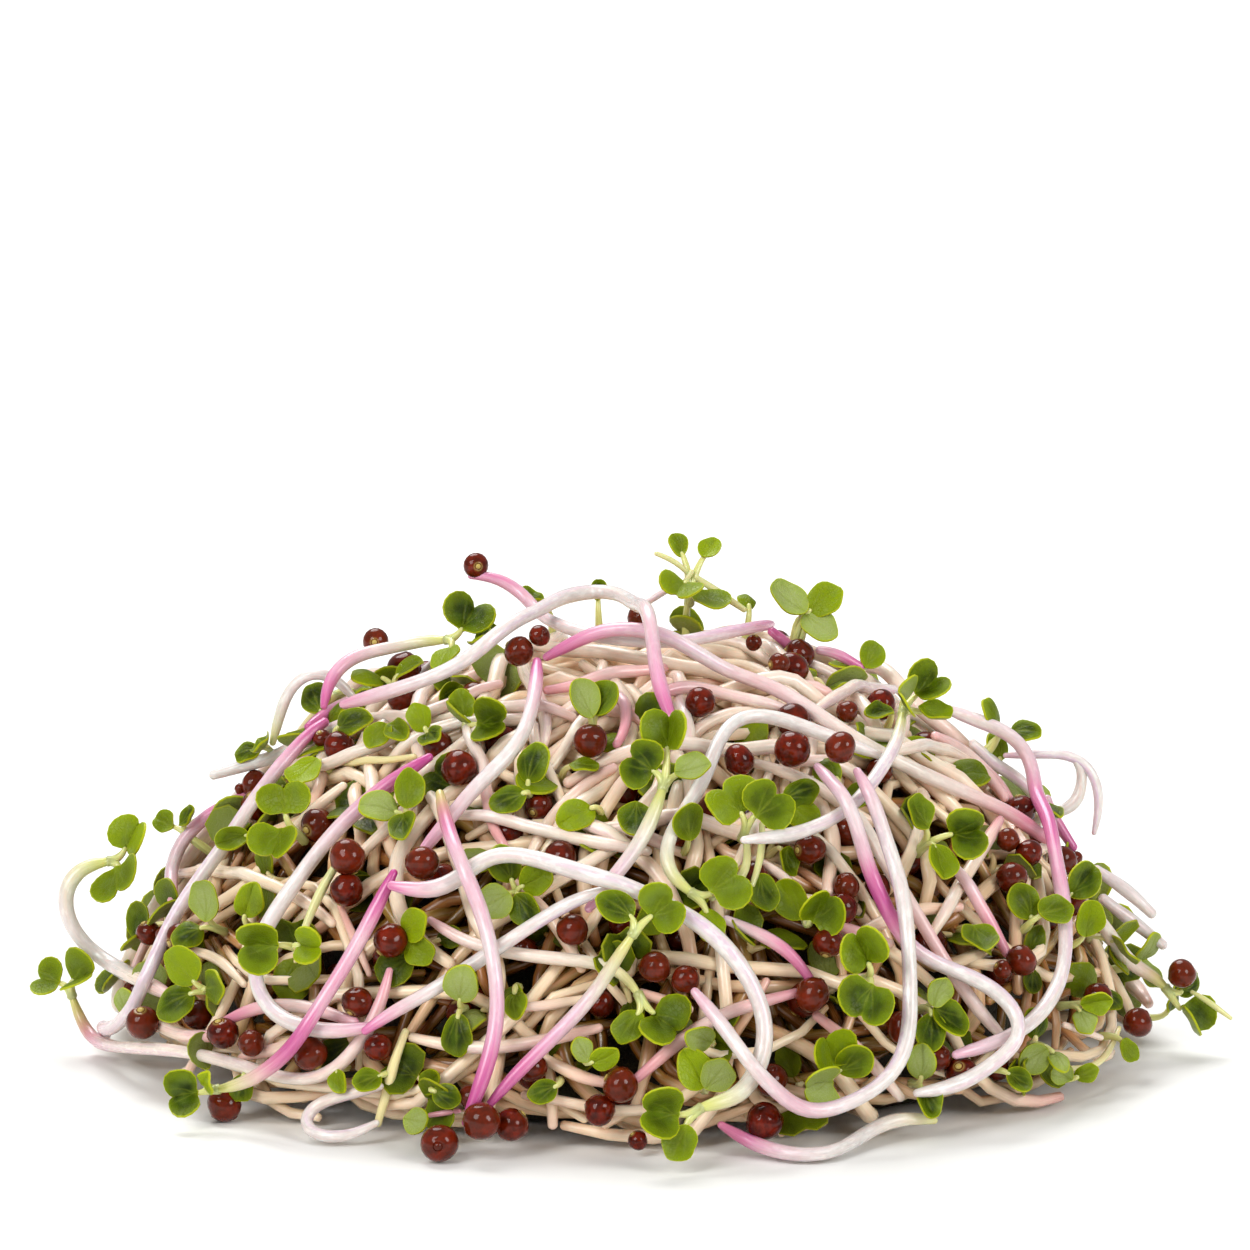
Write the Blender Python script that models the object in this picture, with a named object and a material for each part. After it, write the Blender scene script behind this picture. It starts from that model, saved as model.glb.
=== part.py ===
"""Radish microgreens: a loose heap of cut sprouts that lies on a flat surface.

The heap is a low dome. Its middle is a tangle of stems, in one solid. Whole sprouts lie
over it, each with a stem, the seed leaves at one end and the seed coats at the other.
Lengths are in millimetres up to the meshes, which are in metres.
"""

import math
import random

import bpy
import numpy as np

MM = 0.001

# The dome that the outer sprouts lie on, and how full its shoulders are
HEAP_HALF_WIDTH = 52.0
HEAP_HALF_DEPTH = 41.0
HEAP_HEIGHT = 42.5
HEAP_SHOULDER = 1.43

# The eye that the sprouts are drawn from, in front of the heap and a little above it
EYE_DISTANCE = 600.0
EYE_PITCH = math.radians(14.0)

STEM_RADIUS = 0.82
STEM_TIP = 0.72
STEM_SIDES = 6
STALK_RADIUS = 0.45
STALK_SIDES = 4
BLADE_THICKNESS = 0.65
BLADE_POINTS = 12
SEED_STRETCH = 0.95
GAP = 0.4
FLOOR_LIFT = 1.0
LAYER_RISE = 1.6
LOWEST_LAYER = 0.6
SAMPLE = 0.8

INNER_STEMS = 44
INNER_SINK = 10.5
INNER_LEVEL = -2.6
INNER_RISE_AT_BACK = 2.8
BACK_SPROUTS = 4
CORE_LEVEL = -9.5
CORE_LUMP = 1.8
CORE_UNDERCUT = 7.0
SEED_OF_INNER_DRAW = 12
SEED_OF_BACK_DRAW = 5

# Each sprout: its name, the layer that it lies in, its route from the root end to the leaf
# end as x and height seen from in front, its seed coats as x, height and radius, and its
# seed leaves as the direction in degrees, the stalk's length and the blade's width.
FRONT_SPROUTS = [
    ("left_loop", 0,
     [(-46, 5.5), (-50.5, 7.8), (-54.2, 10), (-56.6, 13.5), (-56.7, 16.2), (-55.4, 18.4),
      (-53.4, 18.9), (-52.2, 18.8)],
     [], [(62, 1.8, 6.2), (-66, 1.8, 6.6)]),
    ("left_arch", 0,
     [(-27.5, 35), (-29, 37), (-31.4, 38.4), (-33.6, 37.2), (-34.8, 35), (-35.3, 32.5),
      (-35.8, 30.6)],
     [], []),
    ("top_left", 1,
     [(-30.5, 34), (-28, 37.6), (-25.8, 39.3), (-23, 40.5), (-20.2, 41.1), (-18.4, 41)],
     [], [(70, 1.8, 6.8), (-100, 1.8, 4.6)]),
    ("right_arch", 0,
     [(37.5, 29.4), (41, 29.5), (44, 29.8), (46, 28.9), (47, 26.5), (47.1, 24), (46.4, 21.6)],
     [], []),
    ("far_right", 0,
     [(46, 14.5), (47.5, 12), (49.2, 9.5), (51, 7), (52.4, 4.9)],
     [], [(-52, 1.8, 6.0), (28, 1.8, 3.6)]),
    ("right_root", 0, [(59.6, 2.2), (57.6, 2.2), (56, 2.7), (54.8, 3.4)], [], []),
    ("left_low", 0,
     [(-24, 8), (-24.6, 5), (-26, 2.2), (-28.5, -1.4), (-31, -3), (-34, -3), (-38, -1.8),
      (-43, -0.4), (-48, 0.2), (-52, 0.3), (-54.2, 1), (-55, 3.4), (-55.6, 5.2)],
     [], [(172, 1.6, 5.4), (12, 1.6, 6.4)]),
    ("bottom_left_loop", 0,
     [(-24.8, -3.6), (-27, -4.2), (-30, -4.8), (-32.4, -5.6), (-33.3, -6.9), (-32.4, -8.3),
      (-30, -8.9), (-27.4, -8.6), (-25.2, -7.2)],
     [], []),
    ("bottom_wave", 0,
     [(9, -7.4), (11, -8.8), (14, -10), (18, -10.6), (21, -10), (23.2, -8.5), (25, -7.1),
      (27.5, -6.6), (30.4, -7)],
     [], []),
    ("top_right", 1,
     [(14.2, 42.6), (11, 42), (8, 41.4), (5, 40.7), (0, 40.9), (-4, 41.4), (-7.8, 42.8),
      (-12, 44.8), (-15.6, 45.5)],
     [], []),
    ("crest", 0, [(6.2, 47.6)], [], [(128, 1.6, 4.6), (40, 1.6, 4.6), (-110, 2.4, 5.8)]),
    ("long_right", 0,
     [(42, 20.7), (38, 23.7), (33, 25.9), (27.5, 28.4), (23, 30.8), (18.5, 33.7),
      (14.5, 36.3), (9, 37.9), (3, 39.4), (-3, 39.8), (-8.4, 38.9)],
     [(-11, 39.5, 1.55), (-9, 40.9, 1.1)], []),
    ("wide_bend", 1,
     [(25, 29.4), (21.5, 30.7), (16, 32.8), (12.6, 33.8), (9.9, 33), (8.3, 29.5), (7, 26),
      (4.7, 22.8), (3.1, 19.8), (3.9, 17), (6.1, 15.7)],
     [], [(35, 1.8, 6.4), (-75, 1.8, 4.0)]),
    ("top_arch", 2,
     [(-28.8, 34.5), (-23.5, 36), (-17.5, 38.2), (-12.5, 41.3), (-7.5, 44.8), (-3.2, 46.1),
      (-0.2, 45.5), (1.6, 43), (2.4, 39), (3.2, 35.4), (4.2, 33)],
     [], []),
    ("right_leaf", 2,
     [(11, 20.2), (14.5, 20.8), (19, 22.4), (22.5, 24.4), (25, 27.9), (27, 31), (27.3, 33.6)],
     [], [(42, 2.2, 6.2), (-28, 2.4, 4.6), (200, 1.8, 5.0)]),
    ("middle_left", 1,
     [(-9.3, 38.9), (-9.4, 36), (-10.3, 32.2), (-12, 29.4), (-15.5, 26.3), (-18.3, 22.8),
      (-21, 19.6)],
     [], []),
    ("centre_stalk", 1,
     [(-4.2, 14), (-2.6, 16.1), (1, 20.5), (2.6, 23.7), (3.2, 25.6)],
     [], [(18, 1.8, 4.6), (150, 2.0, 5.2), (88, 3.4, 7.2)]),
    ("low_level", 0,
     [(-20, 13), (-16.5, 10.7), (-11, 9.5), (-5, 8.9), (-1.2, 8.4), (0.4, 6.9), (0.8, 5.6)],
     [], [(-38, 1.6, 6.4), (-128, 1.6, 4.2)]),
    ("left_sweep", 1,
     [(-25.5, 2.4), (-28, 1.8), (-32, 2), (-35.6, 3.4), (-37.6, 6.5), (-37.2, 10.8),
      (-34.2, 15.6), (-29.6, 21.8), (-24, 26.7), (-20, 29.3)],
     [(-18.1, 28.5, 1.85)], []),
    ("low_diagonal", 1,
     [(-26, 1.8), (-23.5, 3.6), (-18, 7), (-13, 10.2), (-8, 13.5), (-5, 14.8), (-2.4, 15.6)],
     [], []),
    ("magenta_diagonal", 2,
     [(-23.4, 17.6), (-25.2, 14.2), (-28.2, 8.8), (-30.8, 4.5), (-33.2, 0.5), (-36, -2),
      (-39.5, -3.9), (-41, -3.9)],
     [(-21.6, 18.2, 1.7)], [(192, 1.6, 5.0), (62, 1.6, 3.6)]),
    ("big_bend", 2,
     [(-23.5, 16), (-21, 15.4), (-18.5, 15.7), (-16, 18.2), (-13.4, 19.9), (-9, 19),
      (-4, 17), (2, 15.2), (7.2, 12.4), (11.6, 7.6), (13.7, 2.6), (12.9, -2), (10.2, -5.6),
      (7, -8)],
     [], [(172, 1.9, 7.0), (-114, 1.8, 4.4)]),
    ("low_right_diagonal", 1,
     [(-14, -5.4), (-12, -3), (-8.2, 0.7), (-4, 5), (-1.4, 8.7), (0.2, 10.9)],
     [(-12.3, -7, 1.7)], [(142, 1.8, 4.6), (36, 1.8, 5.2)]),
    ("steep_middle", 2,
     [(-16.4, -7.4), (-14.8, -3.2), (-13.4, 1.6), (-13.2, 6.5), (-14.2, 12), (-16, 17),
      (-18.2, 22), (-19, 25.6)],
     [(-18.3, -8.8, 1.85)], []),
    ("right_low", 0,
     [(23, 23.5), (25.8, 18.2), (29, 13), (31.8, 8.2), (35.5, 3), (37.4, 1.1)], [], []),
    ("right_long", 1,
     [(32.4, -0.5), (36, 0.5), (40, 2.6), (42.9, 6.4), (43.6, 11), (43, 17), (41.2, 23.8),
      (37.5, 29.2), (34, 33), (31.4, 34.2)],
     [], []),
    ("right_loop", 1,
     [(28.5, -4.3), (33.5, -3.4), (37.2, -0.8), (38.3, 2.8), (36.2, 6.2), (31.8, 8),
      (27.6, 10.3), (25, 15.5), (22, 21.2), (19.3, 26.3), (18.6, 28)],
     [(16.1, 29.7, 1.8)], []),
    ("right_swing", 2,
     [(6.4, 5.9), (9.2, 2.5), (12.5, -2.5), (15.4, -5.8), (18.4, -6.5), (23.4, -4.6),
      (27, -1.6), (28, 3.5), (27.6, 11.5), (26.6, 18.2), (24.2, 23.4), (22.3, 27.2)],
     [(21.2, 28.8, 1.6)], []),
    ("left_pair", 2, [(-33.4, 10.2)], [], [(182, 1.6, 7.2), (-8, 1.8, 5.4)]),
    ("left_upper_pair", 1, [(-34.4, 22.6)], [], [(96, 1.6, 5.0), (-98, 1.6, 6.2)]),
    ("right_four_lobes", 3, [(24.4, 7.4)], [], [(118, 1.8, 6.4), (-112, 1.8, 6.8)]),
    ("centre_pair", 1, [(11.5, 21.8)], [], [(124, 1.7, 6.4), (48, 1.7, 6.2)]),
    ("right_upper_group", 1, [(30.2, 21.2)], [],
     [(10, 2.4, 6.4), (-84, 1.7, 4.8), (128, 1.8, 4.4)]),
]


def unit(vectors):
    return vectors / np.linalg.norm(vectors, axis=-1, keepdims=True)


def heap_scale(points):
    """How many times larger the dome would be if its skin ran through each point."""
    x, y, z = points[..., 0], points[..., 1], np.abs(points[..., 2])
    flat = (x / HEAP_HALF_WIDTH) ** 2 + (y / HEAP_HALF_DEPTH) ** 2
    tall = (z / HEAP_HEIGHT) ** HEAP_SHOULDER
    scale = np.maximum(flat + tall, 1e-9) ** 0.55
    for _ in range(6):
        excess = flat / scale**2 + tall / scale**HEAP_SHOULDER - 1
        slope = -2 * flat / scale**3 - HEAP_SHOULDER * tall / scale ** (HEAP_SHOULDER + 1)
        scale = np.maximum(scale - excess / slope, scale * 0.5)
    return scale


def heap_level(points):
    """The distance of each point outside the dome's skin, along the line to its centre."""
    return np.linalg.norm(points, axis=-1) * (1 - 1 / heap_scale(points))


def heap_point(directions, level):
    """Where a line from the dome's centre comes to a level outside its skin."""
    return directions * (1 / heap_scale(directions) + level)[..., None]


def outward(points):
    sizes = np.array([HEAP_HALF_WIDTH, HEAP_HALF_DEPTH, HEAP_HEIGHT])
    lifted = np.stack([points[..., 0], points[..., 1], np.abs(points[..., 2])], axis=-1)
    return unit(lifted / sizes**2 + np.array([0, 0, 1e-6]))


VIEW_RIGHT = np.array([1.0, 0.0, 0.0])
VIEW_UP = np.array([0.0, math.sin(EYE_PITCH), math.cos(EYE_PITCH)])
VIEW_IN = np.array([0.0, math.cos(EYE_PITCH), -math.sin(EYE_PITCH)])
EYE = -EYE_DISTANCE * VIEW_IN


def smooth_route(points, spacing):
    """A Catmull-Rom curve through the given points, with steps of one length."""
    given = np.array(points, float)
    if len(given) == 1:
        return given
    ends = np.vstack([2 * given[0] - given[1], given, 2 * given[-1] - given[-2]])
    fine = []
    for k in range(len(given) - 1):
        a, b, c, d = ends[k : k + 4]
        t = np.linspace(0, 1, 16, endpoint=False)[:, None]
        fine.append(
            b + 0.5 * t * (c - a + t * (2 * a - 5 * b + 4 * c - d + t * (3 * (b - c) + d - a)))
        )
    fine = np.vstack(fine + [given[-1:]])
    return even_steps(fine, spacing)


def even_steps(points, spacing):
    length = np.concatenate([[0], np.cumsum(np.linalg.norm(np.diff(points, axis=0), axis=1))])
    count = max(2, int(round(length[-1] / spacing)) + 1)
    at = np.linspace(0, length[-1], count)
    return np.stack([np.interp(at, length, points[:, k]) for k in range(points.shape[1])], axis=1)


def soften(points, rounds):
    soft = points.copy()
    for _ in range(rounds):
        soft[1:-1] = (soft[:-2] + 2 * soft[1:-1] + soft[2:]) / 4
    return soft


def on_heap(route, level):
    """Sets a route seen from in front on the dome, or on the floor before it."""
    seen = VIEW_RIGHT * route[:, :1] + VIEW_UP * route[:, 1:2]
    rays = unit(seen - EYE)
    reach = np.linalg.norm(seen - EYE, axis=1)
    steps = np.arange(-85.0, 60.0, 0.5)
    points = EYE + rays[:, None, :] * (reach[:, None] + steps)[..., None]
    over_heap = heap_level(points)
    height = np.minimum(over_heap, points[..., 2] - FLOOR_LIFT + level)
    nearest = over_heap.argmin(axis=1)
    hits = (height <= level) & (np.arange(len(steps)) <= nearest[:, None])
    first = np.where(hits.any(axis=1), hits.argmax(axis=1), nearest)
    row = np.arange(len(route))
    before = np.maximum(first - 1, 0)
    drop = height[row, before] - height[row, first]
    share = (height[row, before] - level) / np.maximum(drop, 1e-6)
    share = np.where(hits[row, first] & (drop > 1e-6), share, 1)
    at = steps[before] + np.clip(share, 0, 1) * 0.5
    return EYE + rays * (reach + at)[:, None]


def too_close(cloud, radii, others, other_radii, gap):
    """How far each point of a cloud of balls is short of its clearance."""
    short = np.zeros(len(cloud))
    if not len(others):
        return short
    low, high = cloud.min(axis=0) - 5, cloud.max(axis=0) + 5
    near = ((others > low) & (others < high)).all(axis=1)
    if not near.any():
        return short
    apart = np.linalg.norm(cloud[:, None] - others[near][None], axis=2)
    return np.maximum((radii[:, None] + other_radii[near][None] + gap - apart).max(axis=1), 0)


class Pile:
    """What has been laid so far, as balls that the next sprout is bent clear of."""

    def __init__(self):
        self.points = np.zeros((0, 3))
        self.radii = np.zeros(0)

    def add(self, points, radii):
        self.points = np.vstack([self.points, points])
        self.radii = np.concatenate([self.radii, np.broadcast_to(radii, len(points))])

    def settle(self, base, push, radii, extras):
        """Lifts a route off what lies under it, in long low humps. extras ride on its points."""
        count = len(base)
        steps = np.linalg.norm(np.diff(base, axis=0), axis=1) if count > 1 else np.zeros(0)
        along = np.concatenate([[0], np.cumsum(steps)])
        spread = np.cos(np.clip(np.abs(along[:, None] - along) / 7.0, 0, 1) * math.pi / 2) ** 2
        lift = np.zeros(count)
        extra_points = np.vstack([e[1] for e in extras]) if extras else np.zeros((0, 3))
        extra_radii = np.concatenate([e[2] for e in extras]) if extras else np.zeros(0)
        extra_owner = np.concatenate([np.full(len(e[1]), e[0]) for e in extras]) if extras else []
        extra_owner = np.asarray(extra_owner, int)
        for _ in range(140):
            line = soften(base + push * lift[:, None], 6)
            cloud = np.vstack([line, line[extra_owner] + extra_points])
            owner = np.concatenate([np.arange(count), extra_owner])
            ball = np.concatenate([radii, extra_radii])
            short = too_close(cloud, ball, self.points, self.radii, GAP)
            short = np.maximum(short, (ball + 0.05 - cloud[:, 2]) * 0.8)
            need = np.zeros(count)
            np.maximum.at(need, owner, short)
            if count > 1:
                apart = np.linalg.norm(line[:, None] - line[None], axis=2)
                later = along[:, None] - along[None] > 6.0
                own = np.where(later, radii[:, None] + radii[None] + GAP - apart, 0).max(axis=1)
                need = np.maximum(need, own)
            if need.max() < 0.02:
                break
            lift += (spread * (need * 0.5 + 0.02 * (need > 0.02))[None]).max(axis=1)
        return line


def view_direction(degrees):
    return VIEW_RIGHT * math.cos(math.radians(degrees)) + VIEW_UP * math.sin(math.radians(degrees))


def blade_shape(width):
    """The outline of a seed leaf from its stalk, along and across: two lobes and a notch."""
    length = 2.2 + 0.33 * width
    notch = min(max(1.3 * (width / length - 1), 0), 0.62)
    turn = np.linspace(0, 2 * math.pi, BLADE_POINTS, endpoint=False)
    dip = 1 - notch * np.exp(-(((turn - math.pi) / 0.32) ** 2))
    along = length / 2 * (1 - np.cos(turn) * dip)
    across = width / 2 * np.sin(turn) * (1 - 0.12 * np.cos(turn))
    return along, across, length


def blade_frame(facing, degrees, rise):
    """The blade's direction, its side and its normal, for a leaf that faces a way."""
    flat = view_direction(degrees)
    flat = unit(flat - facing * flat.dot(facing))
    direction = flat * math.cos(rise) + facing * math.sin(rise)
    side = np.cross(facing, flat)
    return direction, side, np.cross(direction, side)


def leaf_parts(facing, leaves, rises):
    """For each leaf: its stalk's end, its blade's frame and its outline, from the joint."""
    parts = []
    for (degrees, stalk, width), rise in zip(leaves, rises):
        direction, side, normal = blade_frame(facing, degrees, rise)
        along, across, length = blade_shape(width)
        base = direction * stalk
        rim = base + direction * along[:, None] + side * across[:, None]
        middle = base + direction * (length * 0.5) - normal * 0.25
        parts.append((base, direction, side, normal, rim, middle, length))
    return parts


def leaf_balls(parts):
    """Balls along the stalks and over the blades, from the joint."""
    points = []
    for base, direction, _side, _normal, rim, middle, _length in parts:
        points += [base * 0.5, base]
        for share in (0.0, 0.35, 0.7, 1.0):
            points += list(middle + (rim - middle) * share)
    return np.array(points)


def tube(points, radii, sides):
    """Vertices and faces of a closed tube along the points."""
    tangents = unit(np.gradient(points, axis=0))
    start = np.cross(tangents[0], [0.3, 0.5, 0.81])
    normal = unit(start)
    vertices = []
    for point, tangent, radius in zip(points, tangents, radii):
        normal = unit(normal - tangent * normal.dot(tangent))
        other = np.cross(tangent, normal)
        for k in range(sides):
            turn = 2 * math.pi * k / sides
            vertices.append(point + radius * (normal * math.cos(turn) + other * math.sin(turn)))
    faces = [tuple(reversed(range(sides)))]
    for ring in range(len(points) - 1):
        a = ring * sides
        for k in range(sides):
            n = (k + 1) % sides
            faces.append((a + k, a + n, a + sides + n, a + sides + k))
    last = (len(points) - 1) * sides
    faces.append(tuple(range(last, last + sides)))
    return vertices, faces


def blade(origin, part):
    """Vertices and faces of a thin closed blade, split alike on both faces."""
    _base, _direction, _side, normal, rim, middle, _length = part
    half = normal * (BLADE_THICKNESS / 2)
    count = len(rim)
    vertices = list(origin + rim + half) + list(origin + rim - half)
    vertices += [origin + middle + half, origin + middle - half]
    faces = []
    for k in range(count):
        n = (k + 1) % count
        faces.append((2 * count, n, k))
        faces.append((2 * count + 1, count + k, count + n))
        faces.append((k, n, count + n, count + k))
    return vertices, faces


def ball(centre, radius, rings, sides):
    """Vertices and faces of a seed coat, a slightly flattened ball."""
    vertices = [centre + [0, 0, radius * SEED_STRETCH]]
    for ring in range(1, rings):
        tilt = math.pi * ring / rings
        for k in range(sides):
            turn = 2 * math.pi * (k + 0.5 * (ring % 2)) / sides
            flat = radius * math.sin(tilt)
            vertices.append(
                centre
                + [flat * math.cos(turn), flat * math.sin(turn), radius * SEED_STRETCH * math.cos(tilt)]
            )
    vertices.append(centre - [0, 0, radius * SEED_STRETCH])
    faces = [(0, 1 + k, 1 + (k + 1) % sides) for k in range(sides)]
    for ring in range(rings - 2):
        a, b = 1 + ring * sides, 1 + (ring + 1) * sides
        for k in range(sides):
            n = (k + 1) % sides
            faces.append((a + k, b + k, b + n, a + n))
    a = 1 + (rings - 2) * sides
    faces += [(len(vertices) - 1, a + (k + 1) % sides, a + k) for k in range(sides)]
    return vertices, faces


def thin_out(points, radii, most_off):
    """Keeps the fewest points whose straight runs stay within most_off of the curve."""
    keep = {0, len(points) - 1}

    def split(first, last):
        if last - first < 2:
            return
        run = points[last] - points[first]
        rest = points[first + 1 : last] - points[first]
        share = np.clip(rest.dot(run) / max(run.dot(run), 1e-9), 0, 1)
        off = np.linalg.norm(rest - share[:, None] * run, axis=1)
        if off.max() > most_off or last - first > 14:
            middle = first + 1 + int(off.argmax() if off.max() > most_off else len(off) // 2)
            keep.add(middle)
            split(first, middle)
            split(middle, last)

    split(0, len(points) - 1)
    order = sorted(keep)
    return points[order], radii[order]


def clear_scene():
    for obj in list(bpy.data.objects):
        bpy.data.objects.remove(obj, do_unlink=True)


def material(name, colour, roughness):
    made = bpy.data.materials.new(name)
    made.use_nodes = True
    shader = made.node_tree.nodes["Principled BSDF"]
    shader.inputs["Base Color"].default_value = (*colour, 1)
    shader.inputs["Roughness"].default_value = roughness
    shader.inputs["Metallic"].default_value = 0
    return made


def mesh_object(name, shape):
    vertices, faces = shape
    mesh = bpy.data.meshes.new(name)
    mesh.from_pydata([tuple(float(c) * MM for c in v) for v in vertices], [], faces)
    mesh.update()
    obj = bpy.data.objects.new(name, mesh)
    bpy.context.scene.collection.objects.link(obj)
    return obj


def add_node(name, shapes, finish):
    """One closed solid: the first shape joined with the others."""
    obj = mesh_object(name, shapes[0])
    if len(shapes) > 1:
        group = bpy.data.collections.new(name + "_pieces")
        bpy.context.scene.collection.children.link(group)
        for k, shape in enumerate(shapes[1:]):
            piece = mesh_object(f"{name}_piece_{k}", shape)
            bpy.context.scene.collection.objects.unlink(piece)
            group.objects.link(piece)
        join = obj.modifiers.new("join", "BOOLEAN")
        join.operation = "UNION"
        join.operand_type = "COLLECTION"
        join.collection = group
        join.solver = "MANIFOLD"
        graph = bpy.context.evaluated_depsgraph_get()
        joined = bpy.data.meshes.new_from_object(obj.evaluated_get(graph))
        obj.modifiers.clear()
        obj.data = joined
        for piece in list(group.objects):
            bpy.data.objects.remove(piece, do_unlink=True)
        bpy.data.collections.remove(group)
    obj.data.materials.clear()
    obj.data.materials.append(finish)
    obj.data.shade_smooth()
    obj.data.set_sharp_from_angle(angle=math.radians(76))
    return obj


def taper(count, radius, tip):
    """Stem radii that fall to the tips over the last few samples."""
    edge = np.minimum(np.arange(count), np.arange(count)[::-1]) / 5.0
    return radius * (tip + (1 - tip) * np.clip(edge, 0, 1))


def clear_rises(facing, leaves, line, radii):
    """Raises each blade off its own stem until it clears it."""
    own = line - line[-1]
    rises = []
    for leaf in leaves:
        for degrees in (14, 24, 34, 46, 58, 70):
            balls = leaf_balls(leaf_parts(facing, [leaf], [math.radians(degrees)]))[2:]
            balls = balls + unit(line[-1] - line[-2]) * 1.1 if len(line) > 1 else balls
            sizes = np.full(len(balls), BLADE_THICKNESS * 0.6)
            if too_close(balls, sizes, own, radii, 0.35).max() <= 0:
                break
        rises.append(math.radians(degrees))
    return rises


def push_direction(points, in_front):
    """The way that sprouts are lifted off each other: outward, and up near the floor."""
    way = 0.8 * outward(points) + (0.6 if in_front else 0) * unit(EYE - points)
    near_floor = np.clip(1 - points[..., 2:3] / 9.0, 0, 1)
    return unit(way * (1 - 0.7 * near_floor) + np.array([0, 0, 1.6]) * near_floor)


def lay_sprout(pile, route, level, seeds, leaves, at_back=None):
    """Places one sprout on the pile. Returns its stem's line and its leaves' and seeds' places."""
    if at_back is None:
        flat = smooth_route(route, SAMPLE)
        base = on_heap(flat, level)
    else:
        base = at_back
    if len(base) > 1:
        base = even_steps(soften(base, 8), SAMPLE)
    push = push_direction(base, at_back is None)
    radii = taper(len(base), STEM_RADIUS, STEM_TIP)
    extras = []
    facing = unit(0.5 * outward(base[-1]) + 0.5 * unit(EYE - base[-1]))
    if at_back is not None:
        facing = outward(base[-1])
    ahead = unit(base[-1] - base[-2]) if len(base) > 1 else np.zeros(3)
    joint = ahead * (STEM_RADIUS + 0.5)
    rises = clear_rises(facing, leaves, base, radii) if leaves else []
    parts = leaf_parts(facing, leaves, rises)
    if parts:
        balls = leaf_balls(parts) + joint
        extras.append((len(base) - 1, balls, np.full(len(balls), BLADE_THICKNESS * 0.65)))
    seed_offsets = []
    for x, height, radius in seeds:
        if len(base) > 1 and at_back is None:
            ends = (0, len(base) - 1)
            aims = [VIEW_RIGHT * x + VIEW_UP * height for _ in ends]
            seen = [base[e] - EYE for e in ends]
            spots = [EYE + unit(a - EYE) * np.linalg.norm(s) for a, s in zip(aims, seen)]
            away = [np.linalg.norm(s - base[e]) for s, e in zip(spots, ends)]
            end = ends[int(np.argmin(away))]
            toward = spots[int(np.argmin(away))] - base[end]
            least = radius + radii[end] + GAP + 0.1
            offset = unit(toward) * max(np.linalg.norm(toward), least)
        else:
            end, offset = 0, unit(base[0] - base[1]) * (radius + STEM_RADIUS + 0.5)
        seed_offsets.append((end, offset, radius))
        extras.append((end, offset[None], np.array([radius])))
    line = pile.settle(base, push, radii, extras)
    return line, radii, joint, parts, seed_offsets


def front_sprouts(pile):
    for name, layer, route, seeds, leaves in FRONT_SPROUTS:
        level = LOWEST_LAYER + layer * LAYER_RISE
        yield name, lay_sprout(pile, route, level, seeds, leaves)


def arc_over_heap(draw, facing, reach, level, sink):
    """A stem's route over the dome: a great circle with a slow wave, sunk at its ends."""
    heading = np.cross(facing, unit(np.array([draw.gauss(0, 1) for _ in range(3)])))
    heading = unit(heading)
    side = np.cross(facing, heading)
    count = 24
    along = np.linspace(-0.5, 0.5, count)
    wave = draw.uniform(-0.12, 0.12) * np.cos(along * math.pi * draw.uniform(1.5, 3.0))
    turn = along * reach
    directions = facing * np.cos(turn)[:, None] + heading * np.sin(turn)[:, None]
    directions = unit(directions + side * wave[:, None])
    directions[:, 2] = np.maximum(directions[:, 2], 0.05)
    directions = unit(directions)
    points = heap_point(directions, level - sink * np.abs(2 * along) ** 5)
    points[:, 2] = np.maximum(points[:, 2], STEM_RADIUS + 0.15)
    return points


def even_direction(index, count, start):
    """Directions spread evenly over the upper half of a ball."""
    rise = 0.08 + 0.9 * (index + 0.5) / count
    turn = start + index * math.pi * (3 - math.sqrt(5))
    flat = math.sqrt(1 - rise * rise)
    return np.array([flat * math.cos(turn), flat * math.sin(turn), rise])


def core_shape():
    """The tangle's closed middle: a lumpy dome, flat underneath."""
    around, up = 24, 6
    vertices = []
    for ring in range(up):
        tilt = math.pi / 2 * ring / up
        for k in range(around):
            turn = 2 * math.pi * (k + 0.5 * (ring % 2)) / around
            direction = np.array(
                [math.cos(tilt) * math.cos(turn), math.cos(tilt) * math.sin(turn), math.sin(tilt)]
            )
            lump = CORE_LUMP * math.sin(5 * turn + 2 * ring) * math.cos(3 * turn - ring)
            level = CORE_LEVEL + lump - (0 if ring else CORE_UNDERCUT)
            vertices.append(heap_point(direction[None], np.array([level]))[0])
    vertices.append(heap_point(np.array([[0.0, 0.0, 1.0]]), np.array([CORE_LEVEL]))[0])
    faces = [tuple(reversed(range(around)))]
    for ring in range(up - 1):
        a, b = ring * around, (ring + 1) * around
        for k in range(around):
            n = (k + 1) % around
            if ring % 2:
                faces += [(a + k, a + n, b + n), (a + k, b + n, b + k)]
            else:
                faces += [(a + k, a + n, b + k), (a + n, b + n, b + k)]
    top = (up - 1) * around
    faces += [(top + k, top + (k + 1) % around, up * around) for k in range(around)]
    return vertices, faces


def inner_tangle(pile, finish):
    """Stems in the shade under the outer sprouts, joined with the middle of the heap."""
    draw = random.Random(SEED_OF_INNER_DRAW)
    shapes = [core_shape()]
    for k in range(INNER_STEMS):
        facing = even_direction(k, INNER_STEMS, 0.4)
        reach = draw.uniform(0.62, 0.95)
        level = INNER_LEVEL + draw.uniform(-1.2, 1.2) + INNER_RISE_AT_BACK * max(facing[1], 0)
        route = arc_over_heap(draw, facing, reach, level, INNER_SINK)
        line = even_steps(soften(route, 3), SAMPLE)
        radii = np.full(len(line), STEM_RADIUS * 0.95)
        pile.add(line, radii)
        shapes.append(tube(*thin_out(line, radii, 0.3), 5))
    return add_node("inner_tangle", shapes, finish)


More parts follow.
